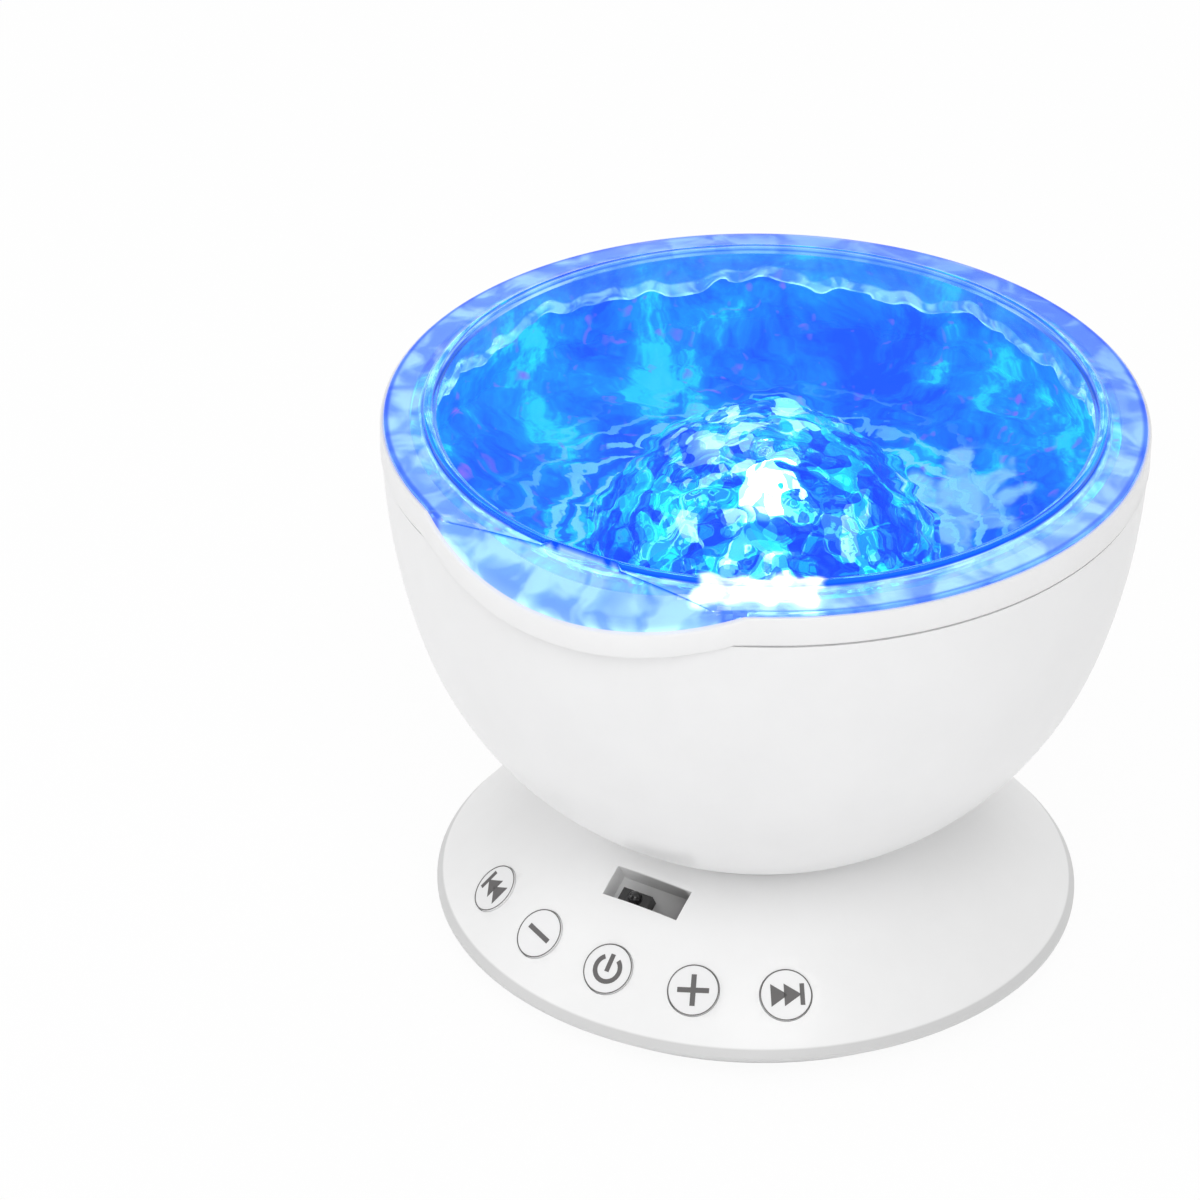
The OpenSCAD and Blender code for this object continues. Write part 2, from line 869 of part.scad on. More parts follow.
module tilt_shoe() {
    color("lightgray")
    difference() {
        union() {
            intersection() {
                translate([0, 0, ball_z])
                    difference() {
                        sphere(r = shoe_r_out);
                        sphere(r = shoe_r_in);
                    }
                cylinder(r = shoe_d / 2, h = ball_z);
            }
            cylinder_from(neck_z, neck_r, hub_top - neck_z - skin);
            cylinder_from(ball_z - shoe_r_in - skin, pivot_boss_r, hub_rise + skin);
        }
        cylinder_from(0, tube_r + fit, ball_z);
    }
}

module pivot_tube() {
    color("goldenrod")
    translate([0, 0, tube_z])
        tube(tube_r, tube_bore / 2, tube_top - tube_z);
}

module pivot_nuts() {
    color("goldenrod")
    for (z = [lower_nut_z, upper_nut_z])
        translate([0, 0, z])
            difference() {
                cylinder(d = nut_flats / cos(30), h = nut_t, $fn = 6);
                cylinder_from(-skin, tube_r + fit, nut_t + 2 * skin);
            }
}

module spring_washer() {
    rotate_extrude()
        polygon([[tube_r + fit, washer_cone], [washer_r, 0], [washer_r, washer_t],
            [tube_r + fit, washer_h]]);
}

module spring_washers() {
    color("silver")
    translate([0, 0, hub_top]) {
        spring_washer();
        translate([0, 0, 2 * washer_h])
            mirror([0, 0, 1])
                spring_washer();
    }
}

// Bowl

module bowl_shell() {
    color("whitesmoke")
    intersection() {
        below_rim(bezel_h, lip_band_h);
        difference() {
            union() {
                rotate_extrude()
                    difference() {
                        bowl_half(0);
                        bowl_half(bowl_wall);
                    }
                rotate_extrude()
                    polygon([[dish_r - dish_flange_w + 0.4, ledge_z],
                        [dish_r + bowl_wall / 2, ledge_z],
                        [dish_r + bowl_wall / 2, ledge_z - ledge_h],
                        [dish_r + dish_clear, ledge_z - ledge_h]]);
            }
            tilt_sector(ball_r - 3 * bowl_wall, ball_r + bowl_wall, slot_w, -slot_end, tilt_max + slot_end);
            translate([0, 0, snap_z - snap_clear])
                cylinder(r = skirt_r + snap_d + snap_clear, h = snap_h + 2 * snap_clear);
            translate([0, 0, seam_z - seam_h])
                tube(rim_r + bezel_h, bowl_top[0] - seam_d, seam_h + skin);
        }
    }
}

module rim_bezel() {
    color("white")
    intersection() {
        below_rim(0, 0);
        difference() {
            union() {
                difference() {
                    rim_prism(0);
                    below_rim(bezel_h, lip_band_h);
                }
                translate([0, 0, dish_top])
                    cylinder(r = skirt_r, h = bezel_h + rim_z - dish_top);
                translate([0, 0, snap_z])
                    cylinder(r = skirt_r + snap_d, h = snap_h);
            }
            translate([0, 0, -skin])
                cylinder(r = skirt_r - skirt_t, h = big);
        }
    }
}

// The cover's top, before the lip is cut, moved down and inward by wall
module cover_hat(wall) {
    slope = cover_rise / (cover_r - ring_r);
    rotate_extrude()
        polygon([[0, ball_z],
            [lip_front, ball_z],
            [lip_front, ring_z - wall - slope * (lip_front - ring_r)],
            [ring_r, ring_z - wall],
            [cover_window_r, ring_z - wall],
            [cover_window_r - window_sink, ring_z - window_sink - wall],
            [0, ring_z - window_sink - wall]]);
}

module wave_cover() {
    color("deepskyblue", 0.5) {
        cover_lid();
        intersection() {
            translate([0, 0, cover_skirt_z])
                tube(cover_skirt_r, cover_skirt_r - cover_skirt_t, ball_r);
            cover_hat(cover_t / 2);
            below_lip(-cover_t / 2);
        }
    }
}

module cover_lid() {
    difference() {
        intersection() {
            union() {
                intersection() {
                    rim_prism(bezel_top_w);
                    cover_hat(0);
                }
                translate([0, 0, ring_z - ring_w / 4])
                    rotate_extrude()
                        translate([ring_r, 0])
                            circle(r = ring_w / 2);
            }
            below_lip(-cover_t);
        }
        intersection() {
            rim_prism(bezel_top_w + cover_t);
            cover_hat(cover_t);
            below_lip(0);
        }
        below_rim(0, 0);
    }
}

module reflector_dish() {
    color("white")
    difference() {
        union() {
            rotate_extrude() {
                translate([sleeve_r + running_fit, gear_top + gap])
                    square([collar_r - sleeve_r - running_fit, lens_z - gear_top - 2 * gap]);
                intersection() {
                    difference() {
                        translate(dish_centre)
                            circle(r = dish_arc_r + dish_t);
                        translate(dish_centre)
                            circle(r = dish_arc_r);
                    }
                    translate([collar_r - 0.5, gear_top + gap])
                        square([dish_high[0] - collar_r + 0.5, dish_top - gear_top - gap]);
                }
                translate([dish_high[0] - 0.5, ledge_z])
                    square([dish_flange_w + 0.5, dish_t]);
            }
            intersection() {
                translate([0, 0, dish_top - skin])
                    tube(lining_r, lining_r - lining_t, ball_r);
                below_rim(dish_clear, dish_clear);
            }
            intersection() {
                around(post_angles, post_ring_r)
                    cylinder_from(chassis_top, post_r, dish_top);
                rotate_extrude()
                    intersection() {
                        difference() {
                            square([big, big]);
                            translate(dish_centre)
                                circle(r = dish_arc_r + dish_t / 2);
                        }
                        square([big, dish_centre[1]]);
                    }
            }
        }
        around(post_angles, post_ring_r)
            cylinder_from(chassis_z, pilot_r, base_screw_len + chassis_t);
    }
}

module chassis_plate() {
    color("lightgray")
    difference() {
        union() {
            cylinder_from(chassis_z, chassis_r, chassis_t);
            cylinder_from(chassis_z, led_pad_r, chassis_t + led_pad_h);
        }
        around(post_angles, post_ring_r)
            cylinder_from(chassis_z - skin, screw_r + screw_clear, chassis_t + 2 * skin);
        translate([-drive_x, 0])
            cylinder_from(chassis_z - skin, motor_boss_r + screw_clear, chassis_t + 2 * skin);
        for (side = [-1, 1])
            translate([-drive_x, side * motor_ear_x])
                cylinder_from(chassis_z - skin, board_screw_r + fit, chassis_t + 2 * skin);
        for (side = [-1, 1])
            translate([0, side * led_screw_r])
                cylinder_from(chassis_z - skin, board_screw_r + fit, chassis_t + led_pad_h + 2 * skin);
    }
}

module chassis_screws() {
    color("silver")
    around(post_angles, post_ring_r)
        translate([0, 0, chassis_z])
            rotate([180, 0, 0])
                screw(screw_r, base_screw_len, screw_head_r, screw_head_h);
}

module led_board() {
    color("white")
    difference() {
        cylinder_from(led_board_z, led_board_d / 2, led_board_t);
        for (side = [-1, 1])
            translate([0, side * led_screw_r])
                cylinder_from(led_board_z - skin, board_screw_r + screw_clear, led_board_t + 2 * skin);
    }
}

module color_leds() {
    color("royalblue")
    around([for (i = [0:led_count - 1]) i * 360 / led_count], led_ring_r)
        translate([0, 0, led_top]) {
            block([led_size, led_size, led_h / 2], 0);
            cylinder(r = led_size / 2 - 0.3, h = led_h);
        }
}

module white_led() {
    color("lightyellow")
    translate([0, 0, led_top]) {
        cylinder(r = white_led_r, h = white_led_h);
        difference() {
            translate([0, 0, white_led_h])
                sphere(r = white_led_r - 0.8);
            block([big, big, big], -big + white_led_h / 2);
        }
    }
}

module led_screws() {
    color("silver")
    for (side = [-1, 1])
        translate([0, side * led_screw_r, led_top])
            screw(board_screw_r, led_board_t + led_pad_h + chassis_t / 2, board_head_r, board_head_h);
}

module at_motor(z) {
    translate([-drive_x, 0, z])
        children();
}

module drive_motor() {
    color("silver")
    at_motor(chassis_z - motor_h)
        difference() {
            union() {
                cylinder(r = motor_d / 2, h = motor_h);
                cylinder(r = motor_boss_r, h = motor_h + chassis_t + pinion_over);
                for (side = [-1, 1])
                    translate([0, side * motor_ear_x, motor_h - motor_ear_t])
                        cylinder(r = motor_boss_r, h = motor_ear_t);
                block([2 * motor_boss_r, 2 * motor_ear_x, motor_ear_t], motor_h - motor_ear_t);
            }
            cylinder_from(motor_h / 2, shaft_r + running_fit, big);
            for (side = [-1, 1])
                translate([0, side * motor_ear_x])
                    cylinder_from(0, board_screw_r + screw_clear, motor_h + skin);
        }
}

module motor_screws() {
    color("silver")
    for (side = [-1, 1])
        at_motor(chassis_z - motor_ear_t)
            translate([0, side * motor_ear_x])
                rotate([180, 0, 0])
                    screw(board_screw_r, motor_ear_t + chassis_t, board_head_r, board_head_h);
}

// Turning pieces

module lens_gear() {
    color("white")
    difference() {
        union() {
            translate([0, 0, gear_z])
                linear_extrude(gear_t)
                    gear_outline(gear_teeth, 0);
            cylinder_from(gear_z, sleeve_r, gear_t + sleeve_h);
        }
        cylinder_from(gear_z - skin, sleeve_r - sleeve_t, gear_t + sleeve_h + 2 * skin);
    }
}

module ripple_dome() {
    foot_z = lens_z + lens_flange_t;
    color("aqua", 0.6)
    rotate_extrude() {
        translate([sleeve_r - sleeve_t, lens_z])
            square([lens_r - sleeve_r + sleeve_t, lens_flange_t]);
        intersection() {
            difference() {
                translate([0, foot_z + lens_h - lens_ball_r])
                    circle(r = lens_ball_r);
                translate([0, foot_z + lens_h - lens_ball_r])
                    circle(r = lens_ball_r - lens_t);
            }
            translate([0, foot_z - 0.2])
                square([lens_r, lens_h + skin]);
        }
    }
}

module motor_shaft() {
    color("silver")
    at_motor(chassis_z - motor_h / 2 + pinion_over)
        cylinder(r = shaft_r, h = gear_top + pinion_over - chassis_z + motor_h / 2 - pinion_over);
}

module motor_pinion() {
    color("gold")
    at_motor(gear_z - pinion_over)
        difference() {
            linear_extrude(pinion_t)
                gear_outline(pinion_teeth, 0.5);
            cylinder_from(-skin, shaft_r, pinion_t + 2 * skin);
        }
}

base_shell();
base_plate();
rubber_feet();
base_screws();
switch_carrier();
switch_boards();
tact_switches();
ir_receiver();
speaker_gasket();
speaker_basket();
speaker_cone();
speaker_magnet();
speaker_screws();
control_board();
board_screws();
power_socket();
audio_socket();
tilt_shoe();
pivot_tube();
pivot_nuts();
spring_washers();
bowl_shell();
rim_bezel();
wave_cover();
reflector_dish();
chassis_plate();
chassis_screws();
led_board();
color_leds();
white_led();
led_screws();
drive_motor();
motor_screws();
lens_gear();
ripple_dome();
motor_shaft();
motor_pinion();
button_previous();
button_minus();
button_power();
button_plus();
button_next();
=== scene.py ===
"""Ocean wave projector: finishes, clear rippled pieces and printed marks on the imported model."""
import math

import bmesh
import bpy
from mathutils import Matrix, Vector


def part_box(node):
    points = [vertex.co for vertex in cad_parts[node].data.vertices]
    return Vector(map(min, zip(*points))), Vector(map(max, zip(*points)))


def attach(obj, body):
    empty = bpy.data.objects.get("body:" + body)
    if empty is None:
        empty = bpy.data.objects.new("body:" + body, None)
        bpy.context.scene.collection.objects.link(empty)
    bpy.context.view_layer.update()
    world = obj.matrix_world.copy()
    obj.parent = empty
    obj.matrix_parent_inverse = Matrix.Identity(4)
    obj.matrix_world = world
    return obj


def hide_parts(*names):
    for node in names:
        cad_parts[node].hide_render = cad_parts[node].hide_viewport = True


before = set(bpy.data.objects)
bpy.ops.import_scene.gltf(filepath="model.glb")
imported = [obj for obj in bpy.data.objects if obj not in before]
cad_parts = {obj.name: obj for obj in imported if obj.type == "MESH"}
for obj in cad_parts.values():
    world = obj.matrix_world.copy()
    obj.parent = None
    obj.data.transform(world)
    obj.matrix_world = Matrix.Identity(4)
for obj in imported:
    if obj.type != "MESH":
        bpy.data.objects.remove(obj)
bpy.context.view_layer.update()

bl_info = {
    "name": "Ocean Wave Projector",
    "version": (1, 0, 0),
    "blender": (4, 5, 0),
    "location": "View3D > Sidebar > Projector",
    "description": "Dresses a tilting ocean wave projector with its plastics, ripples and lights",
    "category": "Object",
}

MM = 0.001
BUTTONS = ("previous", "minus", "power", "plus", "next")
MASKS = ("ripple", "glow", "line")
WHITE = (1.0, 1.0, 1.0)

# Finishes; noise scales count features per metre
MOTTLE_SCALE = 70.0
MOTTLE_RANGE = (0.985, 1.008)
GLOSS_SCALE = 160.0
GLOSS_RANGE = (-0.05, 0.06)
SKIN_DEPTH = 0.08 * MM
COAT_ROUGHNESS = 0.12
FLOW_SCALE = 38.0
FLOW_SHADE = 0.93
FAINT_GLOW = 0.22
PATCH_RANGE = (0.42, 0.60)
FACET_SCALE = 300.0
FACET_WARP_SCALE = 130.0
FACET_WARP = 12 * MM
FACET_GLOW = 0.75
FACET_LEAN = (-0.08, 0.16)
FACET_SPAN = (8 * MM, 28 * MM)
SPECKS_PER_CLOUD = 6.0
CREST_BLUE = (0.45, 0.80, 1.0)
RING_SCALE = 70.0
RING_REACH = 46 * MM
SPLASH_POINTS = 0.22
SPLASH_RAGGED = 1.3
SPLASH_EDGE = (1.40, 1.72)
SPLASH_SCALE = 110.0
VEIL_SCALE = 190.0
# Painted shade in the receiver's recess: how far it reaches, and its greys from left to right
RECESS_REACH = 9 * MM
RECESS_PAINTED_SHADES = ((0.0, (0.80, 0.80, 0.80)), (0.35, (0.50, 0.50, 0.50)), (1.0, (0.24, 0.235, 0.235)))
COVER_GLOSS = (0.35, 0.6, 1.0)
# Dark blue of the painted shade lines on the cover, also the darkest colour of its painted glow
COVER_SHADE_LINE = (0.01, 0.13, 0.85)

# Glints on the cover: degrees round from the front, distance from the axis, height and size
GLINT_TURNS = (24, 30, 36)
GLINT_REACH = 56 * MM
GLINT_HEIGHT = 95 * MM
GLINT_RADIUS = 4.2 * MM

# Splashes: a place, a radius, a count of points, a colour and how much brighter it is
DISH_SPLASH = ((0.021, 0.025, 0.074), 0.0135, 9, (0.42, 0.62, 1.0), 0.2)
BOARD_SPLASH = ((0.0, 0.0, 0.0606), 0.009, 7, (0.8, 1.0, 1.0), 2.0)

# Cover: the edge's steps go in from the edge and down from the top
LIP_COSINE = 0.5
EDGE_ROUND = 0.6 * MM
EDGE_STEPS = ((0.3 * MM, 0.06 * MM), (0.08 * MM, 0.2 * MM), (0.0, 0.42 * MM))
SEAT_GAP = 0.06 * MM
WINDOW_SINK = 0.4 * MM
WINDOW_RIPPLE = 0.12

# Skirt: the foot's height and its waves' heights in millimetres, with each wave's count and shift
SKIRT_WALL = 1.2 * MM
SKIRT_ROLL = 2.2 * MM
SKIRT_FOOT = 2.7
SKIRT_WAVES = ((0.8, 9, 0.0), (0.55, 17, 1.0), (0.45, 31, 2.0), (0.3, 53, 0.5))

# Dome and light pipe: the pipe's waist is parts of its radius, millimetres down and glow
FLANGE_THICKNESS = 1.5 * MM
DOME_WALL = 1.8 * MM
DOME_BORE = 22.5 * MM
PIPE_WAIST = ((0.97, 1.0, 0.6), (0.85, 2.5, 0.12), (0.7, 4.0, 0.02), (0.62, 6.0, 0.0), (0.6, 8.0, 0.0))

# Button outlines and soft edges
OUTLINE_RADIUS = 4.2 * MM
OUTLINE_WIDTH = 0.18 * MM
SOFT_EDGE = 0.35 * MM
WELD_GAP = 0.002 * MM

# Stage: each lamp has a place, a size and a power
LAMPS = {
    "key": ((0.7, -0.9, 1.5), 0.9, 7.0),
    "fill": ((-1.1, -0.6, 0.9), 1.0, 3.0),
    "low": ((0.5, -1.2, 0.35), 1.0, 2.2),
    "back": ((0.0, 1.1, 1.2), 1.0, 2.0),
}
LAMP_TARGET = Vector((0, 0, 0.06))
FLOOR_REACH = 4.0
FLOOR_LEVEL = -0.02 * MM
FLOOR_SHOWN = 0.94
SURROUND = 0.7
SENSOR = 36.0
FOCAL_PIXELS = 5823.7
FRAME_PIXELS = 1200.0
CAMERA_LIFT = math.radians(34.53)
CAMERA_PAN = math.radians(1.864)
CAMERA_TILT = math.radians(90 - 31.654)
CAMERA_ROLL = math.radians(0.27)


def length(name, description, millimetres):
    """A length that a user can change."""
    return bpy.props.FloatProperty(
        name=name, description=description, default=millimetres * MM, unit="LENGTH")


def angle(name, description, degrees):
    """An angle that a user can change."""
    return bpy.props.FloatProperty(
        name=name, description=description, default=math.radians(degrees), subtype="ANGLE")


def tone(name, description, colour):
    """A colour that a user can change."""
    return bpy.props.FloatVectorProperty(
        name=name, description=description, subtype="COLOR", size=3, min=0, max=1, default=colour)


class ProjectorSizes(bpy.types.PropertyGroup):
    """Sizes of the clear pieces, the base's top, the printed marks and the camera"""

    cover_radius: length("Cover radius", "Radius of the clear cover at its edge", 62.2)
    lip_circle_radius: length("Lip circle radius", "Radius of the cover's bulge over the pouring lip", 54.4)
    lip_circle_offset: length(
        "Lip circle offset", "How far in front of the middle the bulge is centred", 9.2)
    lip_front: length("Lip front", "Distance from the middle to the lip facet's lower edge", 63.6)
    lip_height: length("Lip height", "Height of the bezel under the lip facet's lower edge", 89)
    lip_slope: angle("Lip slope", "Slope of the lip facet", 33)
    cover_wall: length("Cover wall", "Thickness of the lip facet", 2)
    rim_height: length("Rim height", "Height of the bezel's level top", 94.6)
    cover_edge_height: length("Cover edge height", "Height of the cover's edge above the bezel", 0.6)
    ring_radius: length("Ring radius", "Radius of the raised ring on the cover", 55)
    ring_height: length("Ring height", "Height of the cover's surface at the raised ring", 96.2)
    ring_width: length("Ring width", "Width of the raised ring", 2)
    skirt_radius: length("Skirt radius", "Outer radius of the cover's rippled skirt", 56)
    skirt_bottom: length("Skirt bottom", "Height of the lower edge of the cover's skirt", 86)
    dome_foot: length("Dome foot", "Radius of the ripple dome where it meets its flange", 28.7)
    dome_rise: length("Dome rise", "Height of the ripple dome above its flange", 20)
    pipe_radius: length("Light pipe radius", "Radius of the light pipe's top on the white lamp", 5)
    pipe_height: length("Light pipe height", "Height of the light pipe on the white lamp", 20)
    base_dome_radius: length("Base dome radius", "Radius of the base's domed top", 70.5)
    base_dome_height: length("Base dome centre", "Height of the centre of the base's domed top", -39.843)
    # Below this height the base carries painted shade
    base_band: length("Base band", "Height of the upper edge of the base's grey lower band", 6.3)
    button_ring: length("Button ring", "Distance of the buttons from the middle", 47.2)
    button_step: angle("Button step", "Angle from one button to the next", 18.5)
    button_proud: length("Button height", "How far a button stands out of the base", 0.2)
    print_height: length("Print height", "Thickness of the printed marks", 0.05)
    view_turn: angle("View turn", "How far round from the front the camera stands", 30.4)


class ProjectorColours(bpy.types.PropertyGroup):
    """Colours of the finishes"""

    shell_white: tone("Shell white", "White of the bowl, the bezel and the buttons", (0.84, 0.84, 0.845))
    base_white: tone("Base white", "White of the base", (0.87, 0.87, 0.87))
    # Painted shade: the plate's grey stands in for the shade on its sloping side under the base's edge
    plate_grey: tone("Plate shade grey", "Grey painted on the base plate for the shade on its side", (0.63, 0.63, 0.63))
    print_grey: tone("Print grey", "Grey of the printed marks", (0.13, 0.125, 0.125))
    cover_tint: tone("Cover tint", "Tint of the clear cover", (0.44, 0.70, 1.0))
    dome_tint: tone("Dome tint", "Tint of the ripple dome", (0.75, 0.95, 1.0))
    deep_blue: tone("Deep blue", "Darkest blue of the projected light", (0.0, 0.05, 0.85))
    sea_blue: tone("Sea blue", "Main blue of the projected light", (0.005, 0.17, 1.0))
    cyan: tone("Cyan", "Brightest blue of the projected light", (0.03, 0.66, 1.0))
    violet: tone("Violet", "Specks in the projected light", (0.45, 0.12, 0.90))


# Materials

def new_finish(name):
    """A material with a Principled shader: returns it, its nodes, a linker and the shader."""
    finish = bpy.data.materials.new(name)
    finish.use_nodes = True
    nodes = finish.node_tree.nodes
    shader = nodes["Principled BSDF"]
    return finish, nodes, finish.node_tree.links.new, shader


def here(nodes):
    """The surface's place in the piece's own coordinates."""
    return nodes.new("ShaderNodeTexCoord").outputs["Object"]


def fill_in(link, node, values):
    """Links a node's first inputs to sockets, or sets them to plain values."""
    for value, socket in zip(values, node.inputs):
        if isinstance(value, bpy.types.NodeSocket):
            link(value, socket)
        else:
            socket.default_value = value
    return node.outputs


def math_on(nodes, link, operation, *values):
    """A Math node on linked sockets or plain numbers."""
    node = nodes.new("ShaderNodeMath")
    node.operation = operation
    return fill_in(link, node, values)["Value"]


def vector_on(nodes, link, operation, *values):
    """The outputs of a Vector Math node on linked sockets or plain vectors."""
    node = nodes.new("ShaderNodeVectorMath")
    node.operation = operation
    return fill_in(link, node, values)


def split(nodes, link, vector):
    """A vector's X, Y and Z."""
    node = nodes.new("ShaderNodeSeparateXYZ")
    link(vector, node.inputs["Vector"])
    return node.outputs


def noise_on(nodes, link, scale, detail=2.0, distortion=0.0, offset=(0, 0, 0), rough=0.58):
    """Noise on the piece's own coordinates; scale counts features per metre."""
    shift = nodes.new("ShaderNodeMapping")
    shift.inputs["Location"].default_value = offset
    link(here(nodes), shift.inputs["Vector"])
    grain = nodes.new("ShaderNodeTexNoise")
    grain.inputs["Scale"].default_value = scale
    grain.inputs["Detail"].default_value = detail
    grain.inputs["Distortion"].default_value = distortion
    grain.inputs["Roughness"].default_value = rough
    link(shift.outputs["Vector"], grain.inputs["Vector"])
    return grain.outputs["Fac"]


def ramp(nodes, link, value, stops):
    """A colour ramp with stops of (place, colour)."""
    band = nodes.new("ShaderNodeValToRGB")
    steps = band.color_ramp.elements
    while len(steps) < len(stops):
        steps.new(0.5)
    for step, (place, colour) in zip(steps, stops):
        step.position = place
        step.color = (*colour, 1.0)
    link(value, band.inputs["Fac"])
    return band.outputs["Color"]


def spread(nodes, link, value, low, high, start=0.0, end=1.0, curve="LINEAR"):
    """A value from start to end moved to the range from low to high."""
    node = nodes.new("ShaderNodeMapRange")
    node.interpolation_type = curve
    node.inputs["From Min"].default_value = start
    node.inputs["From Max"].default_value = end
    node.inputs["To Min"].default_value = low
    node.inputs["To Max"].default_value = high
    link(value, node.inputs["Value"])
    return node.outputs["Result"]


def bump(nodes, link, shader, value, depth, strength):
    """Fine relief, depth in metres."""
    node = nodes.new("ShaderNodeBump")
    node.inputs["Strength"].default_value = strength
    node.inputs["Distance"].default_value = depth
    link(value, node.inputs["Height"])
    link(node.outputs["Normal"], shader.inputs["Normal"])


def shade(colour, factor):
    """A colour made darker or lighter."""
    return tuple(min(1.0, part * factor) for part in colour)


def moulded(name, colour, rough, grain=900.0, relief=0.12, metal=0.0, coat=0.0):
    """Moulded plastic or plain metal: faint mottling, uneven gloss and a fine skin."""
    finish, nodes, link, shader = new_finish(name)
    cloud = noise_on(nodes, link, MOTTLE_SCALE, 3.0)
    tints = [(0.3, shade(colour, MOTTLE_RANGE[0])), (0.7, shade(colour, MOTTLE_RANGE[1]))]
    link(ramp(nodes, link, cloud, tints), shader.inputs["Base Color"])
    gloss = noise_on(nodes, link, GLOSS_SCALE, 4.0, offset=(0.3, 0.1, 0.2))
    low, high = GLOSS_RANGE
    link(spread(nodes, link, gloss, rough + low, rough + high), shader.inputs["Roughness"])
    skin = noise_on(nodes, link, grain, 2.0)
    bump(nodes, link, shader, skin, SKIN_DEPTH, relief)
    shader.inputs["Metallic"].default_value = metal
    shader.inputs["Coat Weight"].default_value = coat
    shader.inputs["Coat Roughness"].default_value = COAT_ROUGHNESS
    return finish


def attribute(nodes, name):
    """A value stored on the piece's points."""
    node = nodes.new("ShaderNodeAttribute")
    node.attribute_name = name
    return node.outputs["Fac"]


def clear_plastic(name, tint, gloss, ior=1.42):
    """Clear tinted plastic with tinted reflections, as a base for the clear pieces."""
    finish, nodes, link, shader = new_finish(name)
    shader.inputs["Roughness"].default_value = 0.0
    shader.inputs["IOR"].default_value = ior
    shader.inputs["Transmission Weight"].default_value = 1.0
    shader.inputs["Specular Tint"].default_value = (*gloss, 1.0)
    flow = noise_on(nodes, link, FLOW_SCALE, 2.0, 0.4)
    colour = ramp(nodes, link, flow, [(0.35, shade(tint, FLOW_SHADE)), (0.65, tint)])
    link(colour, shader.inputs["Base Color"])
    return finish, nodes, link, shader, colour


def edge_lit(name, tint, gloss, line, glow, strength, low, grain, glints=()):
    """Clear plastic with painted dark shade lines, and with the painted glow that gathers at its edges, from
    the piece's masks.
    Glints are places that the lamp lights up, each as a splash."""
    finish, nodes, link, shader, colour = clear_plastic(name, tint, gloss)
    link(blend(nodes, link, attribute(nodes, "line"), colour, line), shader.inputs["Base Color"])
    edge = attribute(nodes, "glow")
    shine = ramp(nodes, link, edge, [(0.0, line), (0.4, glow)])
    cloud = noise_on(nodes, link, grain, 2.0, 0.8, offset=(0.2, 0.5, 0.1))
    patches = spread(nodes, link, cloud, low * strength, (2.0 - low) * strength, *PATCH_RANGE)
    power = math_on(nodes, link, "MULTIPLY_ADD", edge, patches, FAINT_GLOW)
    light_up(nodes, link, shader, shine, power, glints)
    return finish


def broken_light(name, tint, gloss, cyan):
    """Clear plastic whose facets break the light into deep blue, blue, cyan and white."""
    finish, nodes, link, shader, _ = clear_plastic(name, tint, gloss, ior=1.47)
    warp = nodes.new("ShaderNodeTexNoise")
    warp.inputs["Scale"].default_value = FACET_WARP_SCALE
    warp.inputs["Detail"].default_value = 1.0
    link(here(nodes), warp.inputs["Vector"])
    amount = (FACET_WARP, FACET_WARP, FACET_WARP)
    shift = vector_on(nodes, link, "MULTIPLY_ADD", warp.outputs["Color"], amount, here(nodes))
    cells = nodes.new("ShaderNodeTexVoronoi")
    cells.inputs["Scale"].default_value = FACET_SCALE
    link(shift["Vector"], cells.inputs["Vector"])
    pick = nodes.new("ShaderNodeSeparateColor")
    link(cells.outputs["Color"], pick.inputs["Color"])
    outwards = spread(nodes, link, from_axis(nodes, link), *FACET_LEAN, *FACET_SPAN)
    facet = math_on(nodes, link, "SUBTRACT", pick.outputs["Red"], outwards)
    tints = [(0.16, (0.03, 0.06, 0.75)), (0.30, (0.10, 0.36, 1.0)), (0.46, (0.12, 0.80, 0.98)),
             (0.65, tint), (0.85, (0.97, 1.0, 1.0))]
    glows = [(0.32, (0.0, 0.0, 0.05)), (0.46, shade(cyan, 0.75)), (0.66, shade(cyan, 0.25)),
             (0.84, (0.0, 0.05, 0.2)), (0.92, (0.75, 0.9, 1.0))]
    link(ramp(nodes, link, facet, tints), shader.inputs["Base Color"])
    link(ramp(nodes, link, facet, glows), shader.inputs["Emission Color"])
    shader.inputs["Emission Strength"].default_value = FACET_GLOW
    return finish


def sea_light(name, colours, strength, scale, splashes):
    """A white surface washed by moving sea light: blue and cyan clouds, violet specks and pale splashes.
    Each splash is a place, a radius, a count of points, a colour and how much brighter it is."""
    finish, nodes, link, shader = new_finish(name)
    deep, sea, cyan, violet = colours
    cloud = noise_on(nodes, link, scale, 5.0, 0.5, rough=0.68)
    colour = ramp(nodes, link, cloud, [
        (0.36, deep), (0.47, sea), (0.55, (0.01, 0.30, 1.0)), (0.61, cyan), (0.74, (0.08, 0.72, 1.0))])
    speck = noise_on(nodes, link, scale * SPECKS_PER_CLOUD, 1.0, 0.2, offset=(0.7, 0.2, 0.4))
    spot = ramp(nodes, link, speck, [(0.64, (0, 0, 0)), (0.82, WHITE)])
    colour = blend(nodes, link, spot, colour, violet)
    colour = ripple_rings(nodes, link, colour, deep)
    light_up(nodes, link, shader, colour, strength, splashes)
    link(colour, shader.inputs["Base Color"])
    shader.inputs["Roughness"].default_value = 0.35
    return finish


def light_up(nodes, link, shader, colour, power, splashes):
    """Makes a finish glow with a colour and a power, and adds bright splashes."""
    for place, radius, points, pale, more in splashes:
        patch = splash(nodes, link, place, radius, points)
        colour = blend(nodes, link, patch, colour, pale)
        power = math_on(nodes, link, "MULTIPLY_ADD", patch, more, power)
    link(colour, shader.inputs["Emission Color"])
    link(power, shader.inputs["Emission Strength"])


